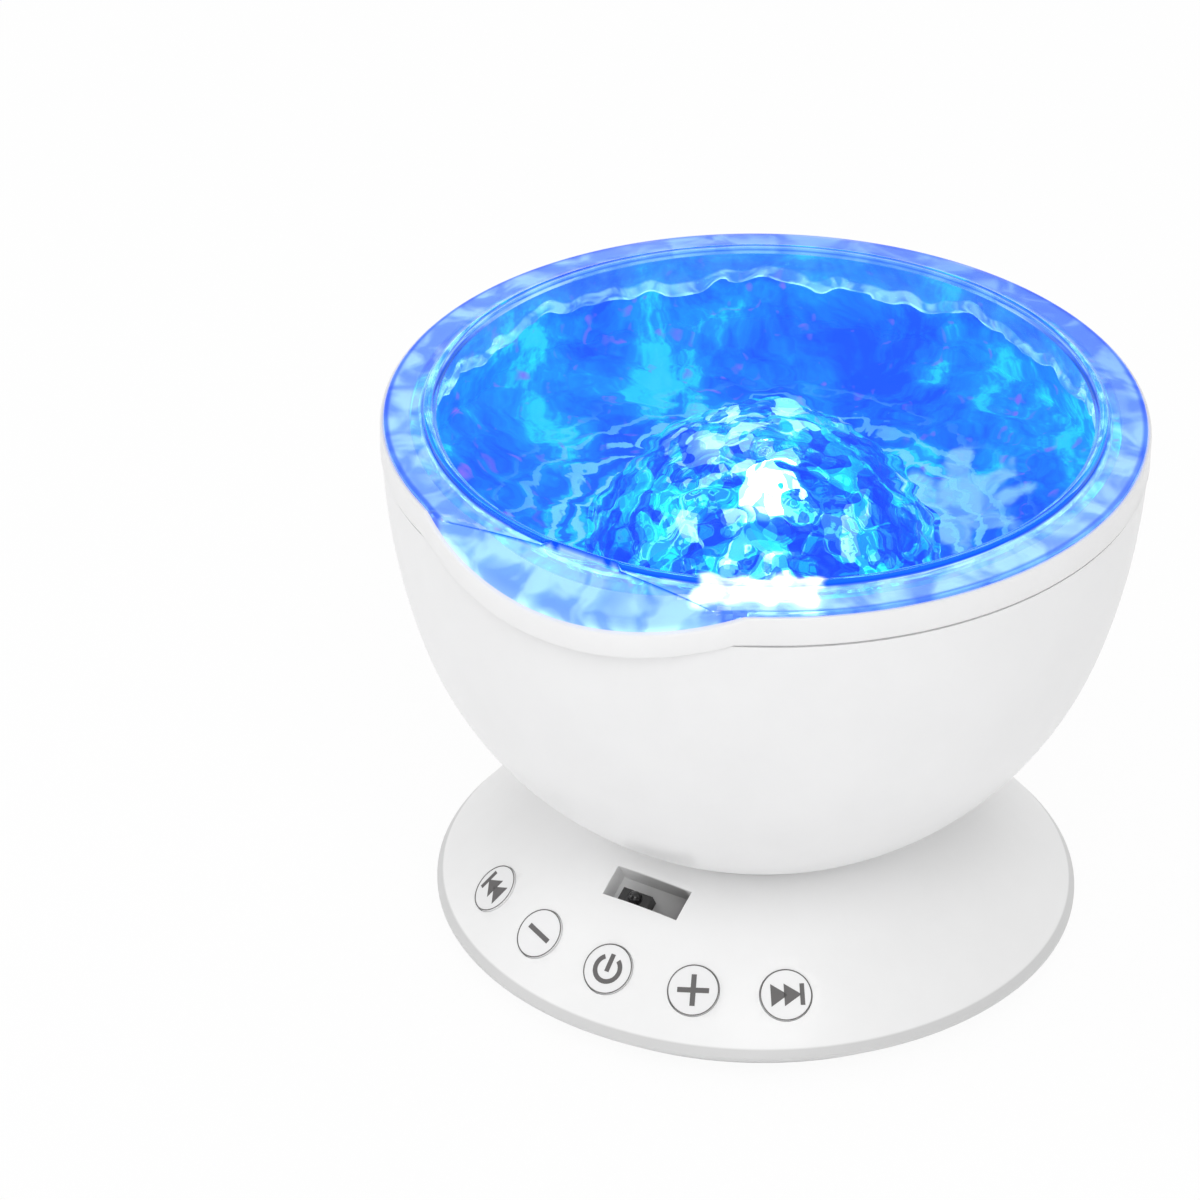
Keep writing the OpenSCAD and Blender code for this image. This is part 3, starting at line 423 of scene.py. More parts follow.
def blend(nodes, link, factor, first, second):
    """Mixes a linked colour with a second one, linked or fixed."""
    node = nodes.new("ShaderNodeMix")
    node.data_type = "RGBA"
    link(factor, node.inputs["Factor"])
    link(first, node.inputs["A"])
    if isinstance(second, bpy.types.NodeSocket):
        link(second, node.inputs["B"])
    else:
        node.inputs["B"].default_value = (*second, 1.0)
    return node.outputs["Result"]


def distance_from(nodes, link, place):
    """Distance of the surface from a place on the piece."""
    return vector_on(nodes, link, "DISTANCE", here(nodes), place)["Value"]


def from_axis(nodes, link):
    """Distance of the surface from the upright axis."""
    flat = vector_on(nodes, link, "MULTIPLY", here(nodes), (1.0, 1.0, 0.0))
    return vector_on(nodes, link, "LENGTH", flat["Vector"])["Value"]


def shade_recess(finish, sizes):
    """Paints shade on the walls of the receiver's recess, which lie below the base's domed top: light grey on
    the left, dark grey on the right.
    """
    nodes, link = finish.node_tree.nodes, finish.node_tree.links.new
    socket = nodes["Principled BSDF"].inputs["Base Color"]
    colour = socket.links[0].from_socket
    low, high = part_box("ir_receiver")
    middle = tuple((a + b) / 2 for a, b in zip(low, high))
    near = spread(nodes, link, distance_from(nodes, link, middle), 1.0, 0.0, RECESS_REACH, RECESS_REACH + MM)
    top = distance_from(nodes, link, (0.0, 0.0, sizes.base_dome_height))
    surface = sizes.base_dome_radius
    below = spread(nodes, link, top, 1.0, 0.0, surface - 0.8 * MM, surface - 0.2 * MM)
    side = spread(nodes, link, split(nodes, link, here(nodes))["X"], 0.0, 1.0, -6 * MM, 6 * MM)
    # Painted shade, darker towards +X
    grey = ramp(nodes, link, side, RECESS_PAINTED_SHADES)
    link(blend(nodes, link, math_on(nodes, link, "MULTIPLY", near, below), colour, grey), socket)


def paint_band_shade(finish, sizes, colours):
    """Paints shade on the base's lowest zone, below its edge line, in the grey of the plate under it, whose
    grey is painted shade too.
    """
    nodes, link = finish.node_tree.nodes, finish.node_tree.links.new
    socket = nodes["Principled BSDF"].inputs["Base Color"]
    colour = socket.links[0].from_socket
    height = split(nodes, link, here(nodes))["Z"]
    below = spread(nodes, link, height, 1.0, 0.0, sizes.base_band - 0.3 * MM, sizes.base_band)
    link(blend(nodes, link, below, colour, tuple(colours.plate_grey)), socket)


def ripple_rings(nodes, link, colour, deep):
    """Rings of dark and pale rippled light painted round the middle, which fade out at a distance."""
    rings = nodes.new("ShaderNodeTexWave")
    rings.wave_type = "RINGS"
    rings.rings_direction = "Z"
    rings.inputs["Scale"].default_value = RING_SCALE
    rings.inputs["Distortion"].default_value = 6.0
    rings.inputs["Detail"].default_value = 3.0
    rings.inputs["Detail Scale"].default_value = 2.5
    link(here(nodes), rings.inputs["Vector"])
    fade = spread(nodes, link, from_axis(nodes, link), 0.8, 0.0, 0.75 * RING_REACH, RING_REACH)
    dark = spread(nodes, link, rings.outputs["Fac"], 0.0, 1.0, 0.55, 0.85)
    colour = blend(nodes, link, math_on(nodes, link, "MULTIPLY", fade, dark), colour, deep)
    crest = spread(nodes, link, rings.outputs["Fac"], 1.0, 0.0, 0.08, 0.2)
    return blend(nodes, link, math_on(nodes, link, "MULTIPLY", fade, crest), colour, CREST_BLUE)


def splash(nodes, link, place, radius, points):
    """A ragged patch of light round a place on the piece, with points like a splash of water."""
    apart = vector_on(nodes, link, "SUBTRACT", here(nodes), place)["Vector"]
    flat = split(nodes, link, apart)
    turn = math_on(nodes, link, "ARCTAN2", flat["Y"], flat["X"])
    petal = math_on(nodes, link, "SINE", math_on(nodes, link, "MULTIPLY", turn, float(points)))
    far = vector_on(nodes, link, "LENGTH", apart)["Value"]
    starred = math_on(nodes, link, "MULTIPLY_ADD", petal, SPLASH_POINTS * radius, far)
    wobble = noise_on(nodes, link, SPLASH_SCALE, 3.0)
    edge = math_on(nodes, link, "MULTIPLY_ADD", wobble, SPLASH_RAGGED * radius, starred)
    full, none = (part * radius for part in SPLASH_EDGE)
    patch = spread(nodes, link, edge, 1.0, 0.0, full, none, "SMOOTHSTEP")
    veil = spread(nodes, link, noise_on(nodes, link, VEIL_SCALE, 3.0, 0.6), 0.55, 1.0, 0.38, 0.56)
    return math_on(nodes, link, "MULTIPLY", patch, veil)


def lamp_finish(name, colour, strength):
    """A lit lamp with a faintly uneven glow."""
    finish, nodes, link, shader = new_finish(name)
    glow = noise_on(nodes, link, 420.0, 1.0)
    link(ramp(nodes, link, glow, [(0.3, shade(colour, 0.8)), (0.7, colour)]), shader.inputs["Emission Color"])
    shader.inputs["Emission Strength"].default_value = strength
    shader.inputs["Base Color"].default_value = (*colour, 1.0)
    shader.inputs["Roughness"].default_value = 0.2
    return finish


def pipe_finish(name, foot, strength):
    """A light pipe that glows white at its top and faintly in the foot's colour below."""
    finish, nodes, link, shader = new_finish(name)
    top = attribute(nodes, "glow")
    link(ramp(nodes, link, top, [(0.0, foot), (0.6, WHITE)]), shader.inputs["Emission Color"])
    link(spread(nodes, link, top, 0.5, strength), shader.inputs["Emission Strength"])
    shader.inputs["Base Color"].default_value = (0.9, 0.95, 1.0, 1.0)
    shader.inputs["Roughness"].default_value = 0.15
    return finish


def finish_nodes(finish, *names):
    """Gives carried-over nodes one finish."""
    for name in names:
        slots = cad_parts[name].data.materials
        slots.clear()
        slots.append(finish)


# Meshes

def columns_mesh(name, columns, masks):
    """A closed shell from columns of points that run from the axis over the top and back under it,
    or round a section. Each point has a mask for the ripples, the painted edge glow and the painted dark
    shade lines."""
    count, rows = len(columns), len(columns[0])
    points = [point for column in columns for point in column]
    faces = [(i * rows + j, i * rows + j + 1, (i + 1) % count * rows + j + 1, (i + 1) % count * rows + j)
             for i in range(count) for j in range(rows - 1)]
    mesh = bpy.data.meshes.new(name)
    mesh.from_pydata(points, [], faces)
    for index, mask in enumerate(MASKS):
        layer = mesh.attributes.new(mask, "FLOAT", "POINT")
        layer.data.foreach_set("value", [values[index] for column in masks for values in column])
    piece = bpy.data.objects.new(name, mesh)
    bpy.context.scene.collection.objects.link(piece)
    close_shell(piece)
    return piece


def close_shell(piece, sharp=math.radians(32)):
    """Merges seams and poles and shades the faces smoothly."""
    shell = bmesh.new()
    shell.from_mesh(piece.data)
    bmesh.ops.remove_doubles(shell, verts=shell.verts, dist=2e-6)
    for face in shell.faces:
        face.smooth = True
    shell.to_mesh(piece.data)
    shell.free()
    piece.data.set_sharp_from_angle(angle=sharp)


def node_tree(name, sizes):
    """A geometry node group with a mesh input, named sizes, a material input and a mesh output."""
    tree = bpy.data.node_groups.new(name, "GeometryNodeTree")
    tree.interface.new_socket("Mesh", in_out="INPUT", socket_type="NodeSocketGeometry")
    for label, value in sizes:
        kind = "NodeSocketVector" if isinstance(value, tuple) else "NodeSocketFloat"
        tree.interface.new_socket(label, in_out="INPUT", socket_type=kind).default_value = value
    tree.interface.new_socket("Finish", in_out="INPUT", socket_type="NodeSocketMaterial")
    tree.interface.new_socket("Mesh", in_out="OUTPUT", socket_type="NodeSocketGeometry")
    return tree, tree.nodes.new("NodeGroupInput"), tree.nodes.new("NodeGroupOutput"), tree.links.new


def end_tree(tree, inputs, outputs, link, shape):
    """Realizes the shape and gives it the finish."""
    real = tree.nodes.new("GeometryNodeRealizeInstances")
    dress = tree.nodes.new("GeometryNodeSetMaterial")
    link(shape, real.inputs["Geometry"])
    link(real.outputs["Geometry"], dress.inputs["Geometry"])
    link(inputs.outputs["Finish"], dress.inputs["Material"])
    link(dress.outputs["Geometry"], outputs.inputs["Mesh"])


def run_tree(piece, tree, finish, **sizes):
    """Runs a node group on a piece and keeps the result as its plain mesh."""
    modifier = piece.modifiers.new(tree.name, "NODES")
    modifier.node_group = tree
    for socket in tree.interface.items_tree:
        if socket.in_out != "INPUT":
            continue
        label = socket.name.lower().replace(" ", "_")
        if label == "finish":
            modifier[socket.identifier] = finish
        elif label in sizes:
            modifier[socket.identifier] = sizes[label]
    graph = bpy.context.evaluated_depsgraph_get()
    result = bpy.data.meshes.new_from_object(piece.evaluated_get(graph), depsgraph=graph)
    piece.modifiers.clear()
    piece.data = result
    result.name = piece.name
    return piece


def ripple_tree():
    """Moves the points of a clear piece in and out along its surface, by soft waves and round cells."""
    found = bpy.data.node_groups.get("Water ripples")
    if found:
        return found
    tree, inputs, outputs, link = node_tree("Water ripples", [
        ("Wave height", 0.2 * MM), ("Wave size", 10 * MM), ("Cell height", 0.0), ("Cell size", 5 * MM),
        ("Seed", 1.0)])
    nodes = tree.nodes
    place = nodes.new("GeometryNodeInputPosition").outputs["Position"]
    wave = nodes.new("ShaderNodeTexNoise")
    wave.noise_dimensions = "4D"
    wave.inputs["Detail"].default_value = 1.5
    wave.inputs["Distortion"].default_value = 0.5
    cell = nodes.new("ShaderNodeTexVoronoi")
    cell.voronoi_dimensions = "4D"
    cell.feature = "SMOOTH_F1"
    cell.inputs["Smoothness"].default_value = 0.35
    for pattern, size in ((wave, "Wave size"), (cell, "Cell size")):
        link(place, pattern.inputs["Vector"])
        link(inputs.outputs["Seed"], pattern.inputs["W"])
        link(math_on(nodes, link, "DIVIDE", 1.0, inputs.outputs[size]), pattern.inputs["Scale"])
    swell = math_on(nodes, link, "SUBTRACT", wave.outputs["Fac"], 0.5)
    hollow = math_on(nodes, link, "SUBTRACT", 0.45, cell.outputs["Distance"])
    waves = math_on(nodes, link, "MULTIPLY", swell, inputs.outputs["Wave height"])
    cells = math_on(nodes, link, "MULTIPLY", hollow, inputs.outputs["Cell height"])
    both = math_on(nodes, link, "ADD", waves, cells)
    mask = nodes.new("GeometryNodeInputNamedAttribute")
    mask.data_type = "FLOAT"
    mask.inputs["Name"].default_value = "ripple"
    push = nodes.new("ShaderNodeVectorMath")
    push.operation = "SCALE"
    link(nodes.new("GeometryNodeInputNormal").outputs["Normal"], push.inputs[0])
    link(math_on(nodes, link, "MULTIPLY", both, mask.outputs["Attribute"]), push.inputs["Scale"])
    move = nodes.new("GeometryNodeSetPosition")
    link(inputs.outputs["Mesh"], move.inputs["Geometry"])
    link(push.outputs["Vector"], move.inputs["Offset"])
    end_tree(tree, inputs, outputs, link, move.outputs["Geometry"])
    return tree


def ring_tree():
    """A flat printed ring, laid on a place and turned to its slope."""
    found = bpy.data.node_groups.get("Printed ring")
    if found:
        return found
    tree, inputs, outputs, link = node_tree("Printed ring", [
        ("Radius", OUTLINE_RADIUS), ("Width", OUTLINE_WIDTH), ("Height", 0.05 * MM),
        ("Place", (0.0, 0.0, 0.0)), ("Turn", (0.0, 0.0, 0.0))])
    nodes = tree.nodes
    circle = nodes.new("GeometryNodeCurvePrimitiveCircle")
    circle.inputs["Resolution"].default_value = 96
    link(inputs.outputs["Radius"], circle.inputs["Radius"])
    section = nodes.new("GeometryNodeCurvePrimitiveQuadrilateral")
    link(inputs.outputs["Width"], section.inputs["Width"])
    link(inputs.outputs["Height"], section.inputs["Height"])
    ring = nodes.new("GeometryNodeCurveToMesh")
    link(circle.outputs["Curve"], ring.inputs["Curve"])
    link(section.outputs["Curve"], ring.inputs["Profile Curve"])
    lay = nodes.new("GeometryNodeTransform")
    link(ring.outputs["Mesh"], lay.inputs["Geometry"])
    link(inputs.outputs["Place"], lay.inputs["Translation"])
    link(inputs.outputs["Turn"], lay.inputs["Rotation"])
    end_tree(tree, inputs, outputs, link, lay.outputs["Geometry"])
    return tree


def facet_top(sizes, forward):
    """Height of the lip facet at a distance in front of the middle."""
    return sizes.lip_height + sizes.cover_wall + math.tan(sizes.lip_slope) * (sizes.lip_front - forward)


def cover_edge(sizes, turn):
    """Radius of the cover's edge at an angle round from the front."""
    side = sizes.lip_circle_offset * math.sin(turn)
    bulge = sizes.lip_circle_offset * math.cos(turn) + math.sqrt(sizes.lip_circle_radius ** 2 - side * side)
    return max(sizes.cover_radius, bulge)


def cover_top(sizes, radius):
    """Height of the cover's top, with its sunk window, raised ring and falling band."""
    bead = sizes.ring_width / 2
    off = radius - sizes.ring_radius
    fall = sizes.ring_height - sizes.rim_height - sizes.cover_edge_height
    if off > 0:
        height = sizes.ring_height - fall * off / (sizes.cover_radius - sizes.ring_radius)
    else:
        height = sizes.ring_height - min(WINDOW_SINK, max(0.0, -off - bead))
    if abs(off) < bead:
        height = max(height, sizes.ring_height - bead / 2 + math.sqrt(bead * bead - off * off))
    return height


def polar(turn, radius, height):
    """A point at an angle round from the front."""
    return Vector((radius * math.sin(turn), -radius * math.cos(turn), height))


def crease(sizes, turn):
    """Radius where the lip facet cuts the cover's level top, or None away from the lip."""
    if math.cos(turn) < LIP_COSINE:
        return None
    low, high = 0.0, cover_edge(sizes, turn)
    if facet_top(sizes, high * math.cos(turn)) >= cover_top(sizes, high):
        return None
    for _ in range(40):
        middle = (low + high) / 2
        if facet_top(sizes, middle * math.cos(turn)) < cover_top(sizes, middle):
            high = middle
        else:
            low = middle
    return high


def steps(start, end, count):
    """Even steps from start to just before end."""
    return [start + (end - start) * i / count for i in range(count)]


def cover_column(sizes, turn):
    """Points and masks of the cover's lid at one angle, from the top's middle to the underside's."""
    edge = cover_edge(sizes, turn)
    cut = crease(sizes, turn)
    bead = 0.866 * sizes.ring_width / 2
    ring_in, ring_out = sizes.ring_radius - bead, sizes.ring_radius + bead
    brink = edge - EDGE_ROUND
    stops = [(0.0, 36), (ring_in - 0.8 * MM, 3), (ring_in, 8), (ring_out, 12), (brink, 0)]
    limit = cut if cut is not None else brink
    radii = []
    for (start, count), (end, _) in zip(stops, stops[1:]):
        radii += steps(min(start, limit), min(end, limit), count)
    radii += steps(limit, brink, 10) + [brink]
    # The edge carries a painted dark shade line and a painted glow, with more glow and less line at the lip
    border = (0.0, 0.2, 0.9) if cut is None else (0.0, 0.5, 0.25)

    def top(radius):
        return min(cover_top(sizes, radius), facet_top(sizes, radius * math.cos(turn)))

    def seat(radius):
        facet = facet_top(sizes, radius * math.cos(turn)) - sizes.cover_wall
        return min(sizes.rim_height, facet) + SEAT_GAP

    def marks(radius):
        """Ripple, painted glow and painted shade-line masks on the lid's top; the falling band is painted
        darker and dimmer towards the back.
        """
        if radius > edge - 0.7 * MM:
            return border
        # Painted dark shade lines along the ring's two edges and the lip's crease
        line = min(abs(radius - ring_in), abs(radius - ring_out))
        if cut is not None:
            line = min(line, abs(radius - cut))
        falling = radius > ring_out + 0.2 * MM or cut is not None and radius > cut + 0.2 * MM
        rippled = cut is None and ring_out + 0.7 * MM < radius < edge - 0.9 * MM
        # Painted shade: the falling band gets darker and glows less towards the back
        far = (0.5 - 0.5 * math.cos(turn)) ** 2
        if line < 0.05 * MM:
            return 0.0, 0.0, 1.0
        if radius < ring_in - MM:
            return WINDOW_RIPPLE, 0.0, 0.0
        ripple = 1.0 if rippled else 0.0
        return (ripple, 0.5 - 0.2 * far, 0.2 + 0.25 * far) if falling else (ripple, 0.0, 0.0)

    points = [polar(turn, radius, top(radius)) for radius in radii]
    masks = [marks(radius) for radius in radii]
    for back, drop in EDGE_STEPS:
        points.append(polar(turn, edge - back, top(brink) - drop))
        masks.append(border)
    points.append(polar(turn, edge, seat(edge)))
    masks.append(border)
    inner = sizes.skirt_radius - SKIRT_WALL
    under = steps(edge, inner, 6) + steps(inner, 0.0, 56) + [0.0]
    points += [polar(turn, radius, seat(radius)) for radius in under[1:]]
    masks += [(0.0 if radius > inner - 1.5 * MM else -0.9, 0.0, 0.0) for radius in under[1:]]
    return points, masks


def skirt_column(sizes, turn):
    """Points and masks of the cover's skirt at one angle, round its section, with a rolled and wavy foot."""
    outer, inner = sizes.skirt_radius, sizes.skirt_radius - SKIRT_WALL
    roof = min(sizes.rim_height, facet_top(sizes, outer * math.cos(turn)) - sizes.cover_wall) - 0.05 * MM
    wave = sum(height * math.sin(count * turn + shift) for height, count, shift in SKIRT_WAVES)
    foot = sizes.skirt_bottom + (SKIRT_FOOT + wave) * MM
    roll = foot + SKIRT_ROLL
    fat = (0.55 + 0.35 * math.sin(23 * turn + 1.0)) * MM
    bulge = [fat * math.sin(math.pi * i / 6) for i in range(6)]
    inside = [polar(turn, inner - out, height) for out, height in zip(bulge, steps(foot, roll, 6))]
    inside += [polar(turn, inner, height) for height in steps(roll, roof, 12) + [roof]]
    outside = [polar(turn, outer, height) for height in steps(roof, foot, 4) + [foot]]
    edge = [polar(turn, outer - 0.1 * MM, foot - 0.3 * MM), polar(turn, (inner + outer) / 2, foot - 0.6 * MM),
            polar(turn, inner + 0.1 * MM, foot - 0.3 * MM)]
    column = inside + outside + edge
    # Painted glow: strong at the rolled foot and its lower edge, faint on the walls
    masks = [(1.0, 0.5, 0.0)] * 6 + [(1.0, 0.1, 0.0)] * 12 + [(0.0, 0.1, 0.0)] * 6
    masks += [(0.0, 0.6, 0.0)] * len(edge)
    return column + [column[0]], masks + [masks[0]]


def dome_column(sizes, turn):
    """Points and masks of the ripple dome at one angle, from its top out, and back inside."""
    low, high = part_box("ripple_dome")
    foot = low[2] + FLANGE_THICKNESS
    ball = (sizes.dome_foot ** 2 + sizes.dome_rise ** 2) / (2 * sizes.dome_rise)
    centre = foot + sizes.dome_rise - ball
    flange = high[0]
    points, masks = [], []
    reach = math.asin(sizes.dome_foot / ball)
    for part in steps(0.0, 1.0, 64) + [1.0]:
        lean = part * reach
        points.append(polar(turn, ball * math.sin(lean), centre + ball * math.cos(lean)))
        masks.append((min(1.0, (1.0 - part) / 0.08), 0.0, 0.0))
    for radius, height in ((flange - 0.2 * MM, foot), (flange, foot - 0.2 * MM), (flange, low[2]),
                           (DOME_BORE, low[2]), (DOME_BORE, foot)):
        points.append(polar(turn, radius, height))
        masks.append((0.0, 0.0, 0.0))
    inner = ball - DOME_WALL
    reach = math.acos((foot - centre) / inner)
    for part in steps(1.0, 0.0, 24) + [0.0]:
        lean = part * reach
        points.append(polar(turn, inner * math.sin(lean), centre + inner * math.cos(lean)))
        masks.append((0.0, 0.0, 0.0))
    return points, masks


def pipe_column(sizes, turn):
    """Points and masks of the light pipe on the white lamp, from its round top down to the lamp."""
    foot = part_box("white_led")[1][2]
    middle = foot + sizes.pipe_height - sizes.pipe_radius
    points = [polar(turn, sizes.pipe_radius * math.sin(a), middle + sizes.pipe_radius * math.cos(a))
              for a in (math.pi / 2 * i / 12 for i in range(13))]
    masks = [(0.0, 1.0, 0.0)] * len(points)
    for part, drop, glow in PIPE_WAIST:
        points.append(polar(turn, part * sizes.pipe_radius, middle - drop * MM))
        masks.append((0.0, glow, 0.0))
    for part in (0.6, 0.0):
        points.append(polar(turn, part * sizes.pipe_radius, foot))
        masks.append((0.0, 0.0, 0.0))
    return points, masks


def shell_of_columns(name, column_at, sizes, count):
    """A closed shell from a column at each of a count of angles."""
    pairs = [column_at(sizes, 2 * math.pi * i / count) for i in range(count)]
    return columns_mesh(name, [pair[0] for pair in pairs], [pair[1] for pair in pairs])


# Printed marks

def triangle(tip, back, half):
    """An arrowhead along X."""
    return [(tip, 0.0), (back, half), (back, -half)]


def bar(left, right, low, high):
    """A rectangle."""
    return [(left, low), (right, low), (right, high), (left, high)]


def arc_band(radius, width, start, end, count=28):
    """A band along an arc; angles are counted from straight up, in degrees."""
    angles = [math.radians(start + (end - start) * i / count) for i in range(count + 1)]
    far, near = radius + width / 2, radius - width / 2
    outer = [(far * math.sin(a), far * math.cos(a)) for a in angles]
    inner = [(near * math.sin(a), near * math.cos(a)) for a in reversed(angles)]
    return outer + inner


def mark_outlines():
    """Outlines of the generic marks in millimetres, with +X along the row of buttons and +Y up the slope."""
    plus = [bar(-2.65, 2.65, -0.43, 0.43), bar(-0.43, 0.43, 0.43, 2.65), bar(-0.43, 0.43, -2.65, -0.43)]
    skip = [triangle(0.35, -2.5, 1.9), triangle(2.55, -0.3, 1.9), bar(2.3, 3.05, -1.8, 1.8)]
    return {
        "previous": [[(-x, y) for x, y in reversed(outline)] for outline in skip],
        "minus": [slanted(plus[0], -6)],
        "power": [arc_band(2.2, 0.8, 35, 325), bar(-0.4, 0.4, -0.5, 2.6)],
        "plus": [slanted(outline, 6) for outline in plus],
        "next": skip,
    }


def slanted(outline, degrees):
    """An outline turned anticlockwise."""
    turn = Matrix.Rotation(math.radians(degrees), 2)
    return [tuple(turn @ Vector(point)) for point in outline]


def button_place(sizes, index):
    """Matrix of a button's cap: +Z out of the base, +Y up its slope."""
    slope = math.asin(sizes.button_ring / sizes.base_dome_radius)
    return (Matrix.Rotation((index - 2) * sizes.button_step, 4, "Z")
            @ Matrix.Translation((0, 0, sizes.base_dome_height))
            @ Matrix.Rotation(slope, 4, "X")
            @ Matrix.Translation((0, 0, sizes.base_dome_radius + sizes.button_proud)))


def flat_mark(name, outlines, height, place):
    """A thin raised print from flat outlines."""
    mark = bmesh.new()
    for outline in outlines:
        low = [mark.verts.new(place @ Vector((x * MM, y * MM, -0.5 * height))) for x, y in outline]
        high = [mark.verts.new(place @ Vector((x * MM, y * MM, height))) for x, y in outline]
        mark.faces.new(high)
        mark.faces.new(low[::-1])
        for i in range(len(outline)):
            j = (i + 1) % len(outline)
            mark.faces.new((low[i], low[j], high[j], high[i]))
    bmesh.ops.triangulate(mark, faces=[face for face in mark.faces if len(face.verts) > 4])
    bmesh.ops.recalc_face_normals(mark, faces=mark.faces)
    mesh = bpy.data.meshes.new(name)
    mark.to_mesh(mesh)
    mark.free()
    piece = bpy.data.objects.new(name, mesh)
    bpy.context.scene.collection.objects.link(piece)
    return piece


# Operators

def settings():
    """The sizes and the colours that a user can change."""
    return bpy.context.scene.projector_sizes, bpy.context.scene.projector_colours


def light_tones(colours):
    """Deep blue, sea blue, cyan and violet."""
    return [tuple(colour) for colour in (colours.deep_blue, colours.sea_blue, colours.cyan, colours.violet)]


class PROJECTOR_OT_white_mouldings(bpy.types.Operator):
    """Finishes the white bowl, bezel, base and buttons"""

    bl_idname = "projector.white_mouldings"
    bl_label = "White Mouldings"

    def execute(self, context):
        sizes, colours = settings()
        finish_nodes(moulded("Bowl white", colours.shell_white, 0.34, coat=0.15), "bowl_shell", "rim_bezel")
        base = moulded("Base white", colours.base_white, 0.38, coat=0.1)
        # Painted shade in the receiver's recess and on the base's lowest band
        shade_recess(base, sizes)
        paint_band_shade(base, sizes, colours)
        finish_nodes(base, "base_shell")
        # The plate's grey is painted shade
        finish_nodes(moulded("Plate white with painted shade", colours.plate_grey, 0.45), "base_plate")
        finish_nodes(moulded("Button white", colours.shell_white, 0.36),
                     *["button_" + name for name in BUTTONS])
        for name in ("bowl_shell", "rim_bezel", "base_shell", "base_plate"):
            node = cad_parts[name]
            weld = node.modifiers.new("Weld", "WELD")
            weld.merge_threshold = WELD_GAP
            round_off = node.modifiers.new("Soft edges", "BEVEL")
            round_off.width = SOFT_EDGE
            round_off.segments = 3
            round_off.limit_method = "ANGLE"
            round_off.angle_limit = math.radians(35)
            round_off.harden_normals = True
        return {"FINISHED"}


class PROJECTOR_OT_clear_cover(bpy.types.Operator):
    """Builds the clear cover with its ring, lip facet and rippled skirt"""

    bl_idname = "projector.clear_cover"
    bl_label = "Clear Cover"

    def execute(self, context):
        sizes, colours = settings()
        glints = [(tuple(polar(math.radians(turn), GLINT_REACH, GLINT_HEIGHT)), GLINT_RADIUS, 4, WHITE, 0.7)
                  for turn in GLINT_TURNS]
        finish = edge_lit("Clear blue cover", colours.cover_tint, COVER_GLOSS, COVER_SHADE_LINE,
                          (0.34, 0.50, 0.94), 0.8, 0.2, 130.0, glints)
        skirt_finish = edge_lit("Clear blue skirt", colours.cover_tint, COVER_GLOSS, COVER_SHADE_LINE,
                                (0.48, 0.62, 0.95), 1.0, 0.0, 200.0)
        lid = shell_of_columns("cover_lid", cover_column, sizes, 288)
        run_tree(lid, ripple_tree(), finish, wave_height=0.45 * MM, wave_size=9 * MM, seed=3.0)
        skirt = shell_of_columns("cover_skirt", skirt_column, sizes, 360)
        run_tree(skirt, ripple_tree(), skirt_finish, wave_height=1.3 * MM, wave_size=5 * MM, seed=7.0)
        for piece in (lid, skirt):
            close_shell(piece)
            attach(piece, "bowl")
        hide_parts("wave_cover")
        return {"FINISHED"}


class PROJECTOR_OT_ripple_dome(bpy.types.Operator):
    """Builds the rippled clear dome that turns over the lamps"""

    bl_idname = "projector.ripple_dome"
    bl_label = "Ripple Dome"

    def execute(self, context):
        sizes, colours = settings()
        finish = broken_light("Clear rippled dome", tuple(colours.dome_tint), (0.6, 0.85, 1.0),
                              tuple(colours.cyan))
        dome = shell_of_columns("rippled_dome", dome_column, sizes, 240)
        run_tree(dome, ripple_tree(), finish, wave_height=1.0 * MM, wave_size=7 * MM,
                 cell_height=1.5 * MM, cell_size=4.2 * MM, seed=5.0)
        close_shell(dome, math.radians(60))
        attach(dome, "lens")
        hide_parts("ripple_dome")
        return {"FINISHED"}


class PROJECTOR_OT_sea_light(bpy.types.Operator):
    """Lights the reflector dish, the lamp board and the lamps"""

    bl_idname = "projector.sea_light"
    bl_label = "Sea Light"

    def execute(self, context):
        sizes, colours = settings()
        tones = light_tones(colours)
        finish_nodes(sea_light("Dish under sea light", tones, 1.0, 55.0, [DISH_SPLASH]), "reflector_dish")
        finish_nodes(sea_light("Board under sea light", tones, 1.3, 120.0, [BOARD_SPLASH]),
                     "led_board", "lens_gear")
        finish_nodes(lamp_finish("Blue lamps", (0.05, 0.45, 1.0), 2.0), "color_leds")
        finish_nodes(lamp_finish("White lamp", (1.0, 1.0, 0.98), 4.0), "white_led")
        pipe = shell_of_columns("light_pipe", pipe_column, sizes, 64)
        pipe.data.materials.append(pipe_finish("Lit pipe", tones[2], 14.0))
        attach(pipe, "bowl")
        return {"FINISHED"}


class PROJECTOR_OT_button_prints(bpy.types.Operator):
    """Prints an outline ring and a generic mark on each button"""

    bl_idname = "projector.button_prints"
    bl_label = "Button Prints"

    def execute(self, context):
        sizes, colours = settings()
        ink = moulded("Grey print", colours.print_grey, 0.5, relief=0.05)
        outlines = mark_outlines()
        for index, name in enumerate(BUTTONS):
            place = button_place(sizes, index)
            mark = flat_mark("print_" + name, outlines[name], sizes.print_height, place)
            mark.data.materials.append(ink)
            ring = bpy.data.objects.new("outline_" + name, bpy.data.meshes.new("outline_" + name))
            context.scene.collection.objects.link(ring)
            run_tree(ring, ring_tree(), ink, height=2 * sizes.print_height,
                     place=tuple(place.translation), turn=tuple(place.to_euler()))
            for piece in (mark, ring):
                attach(piece, name)
        return {"FINISHED"}


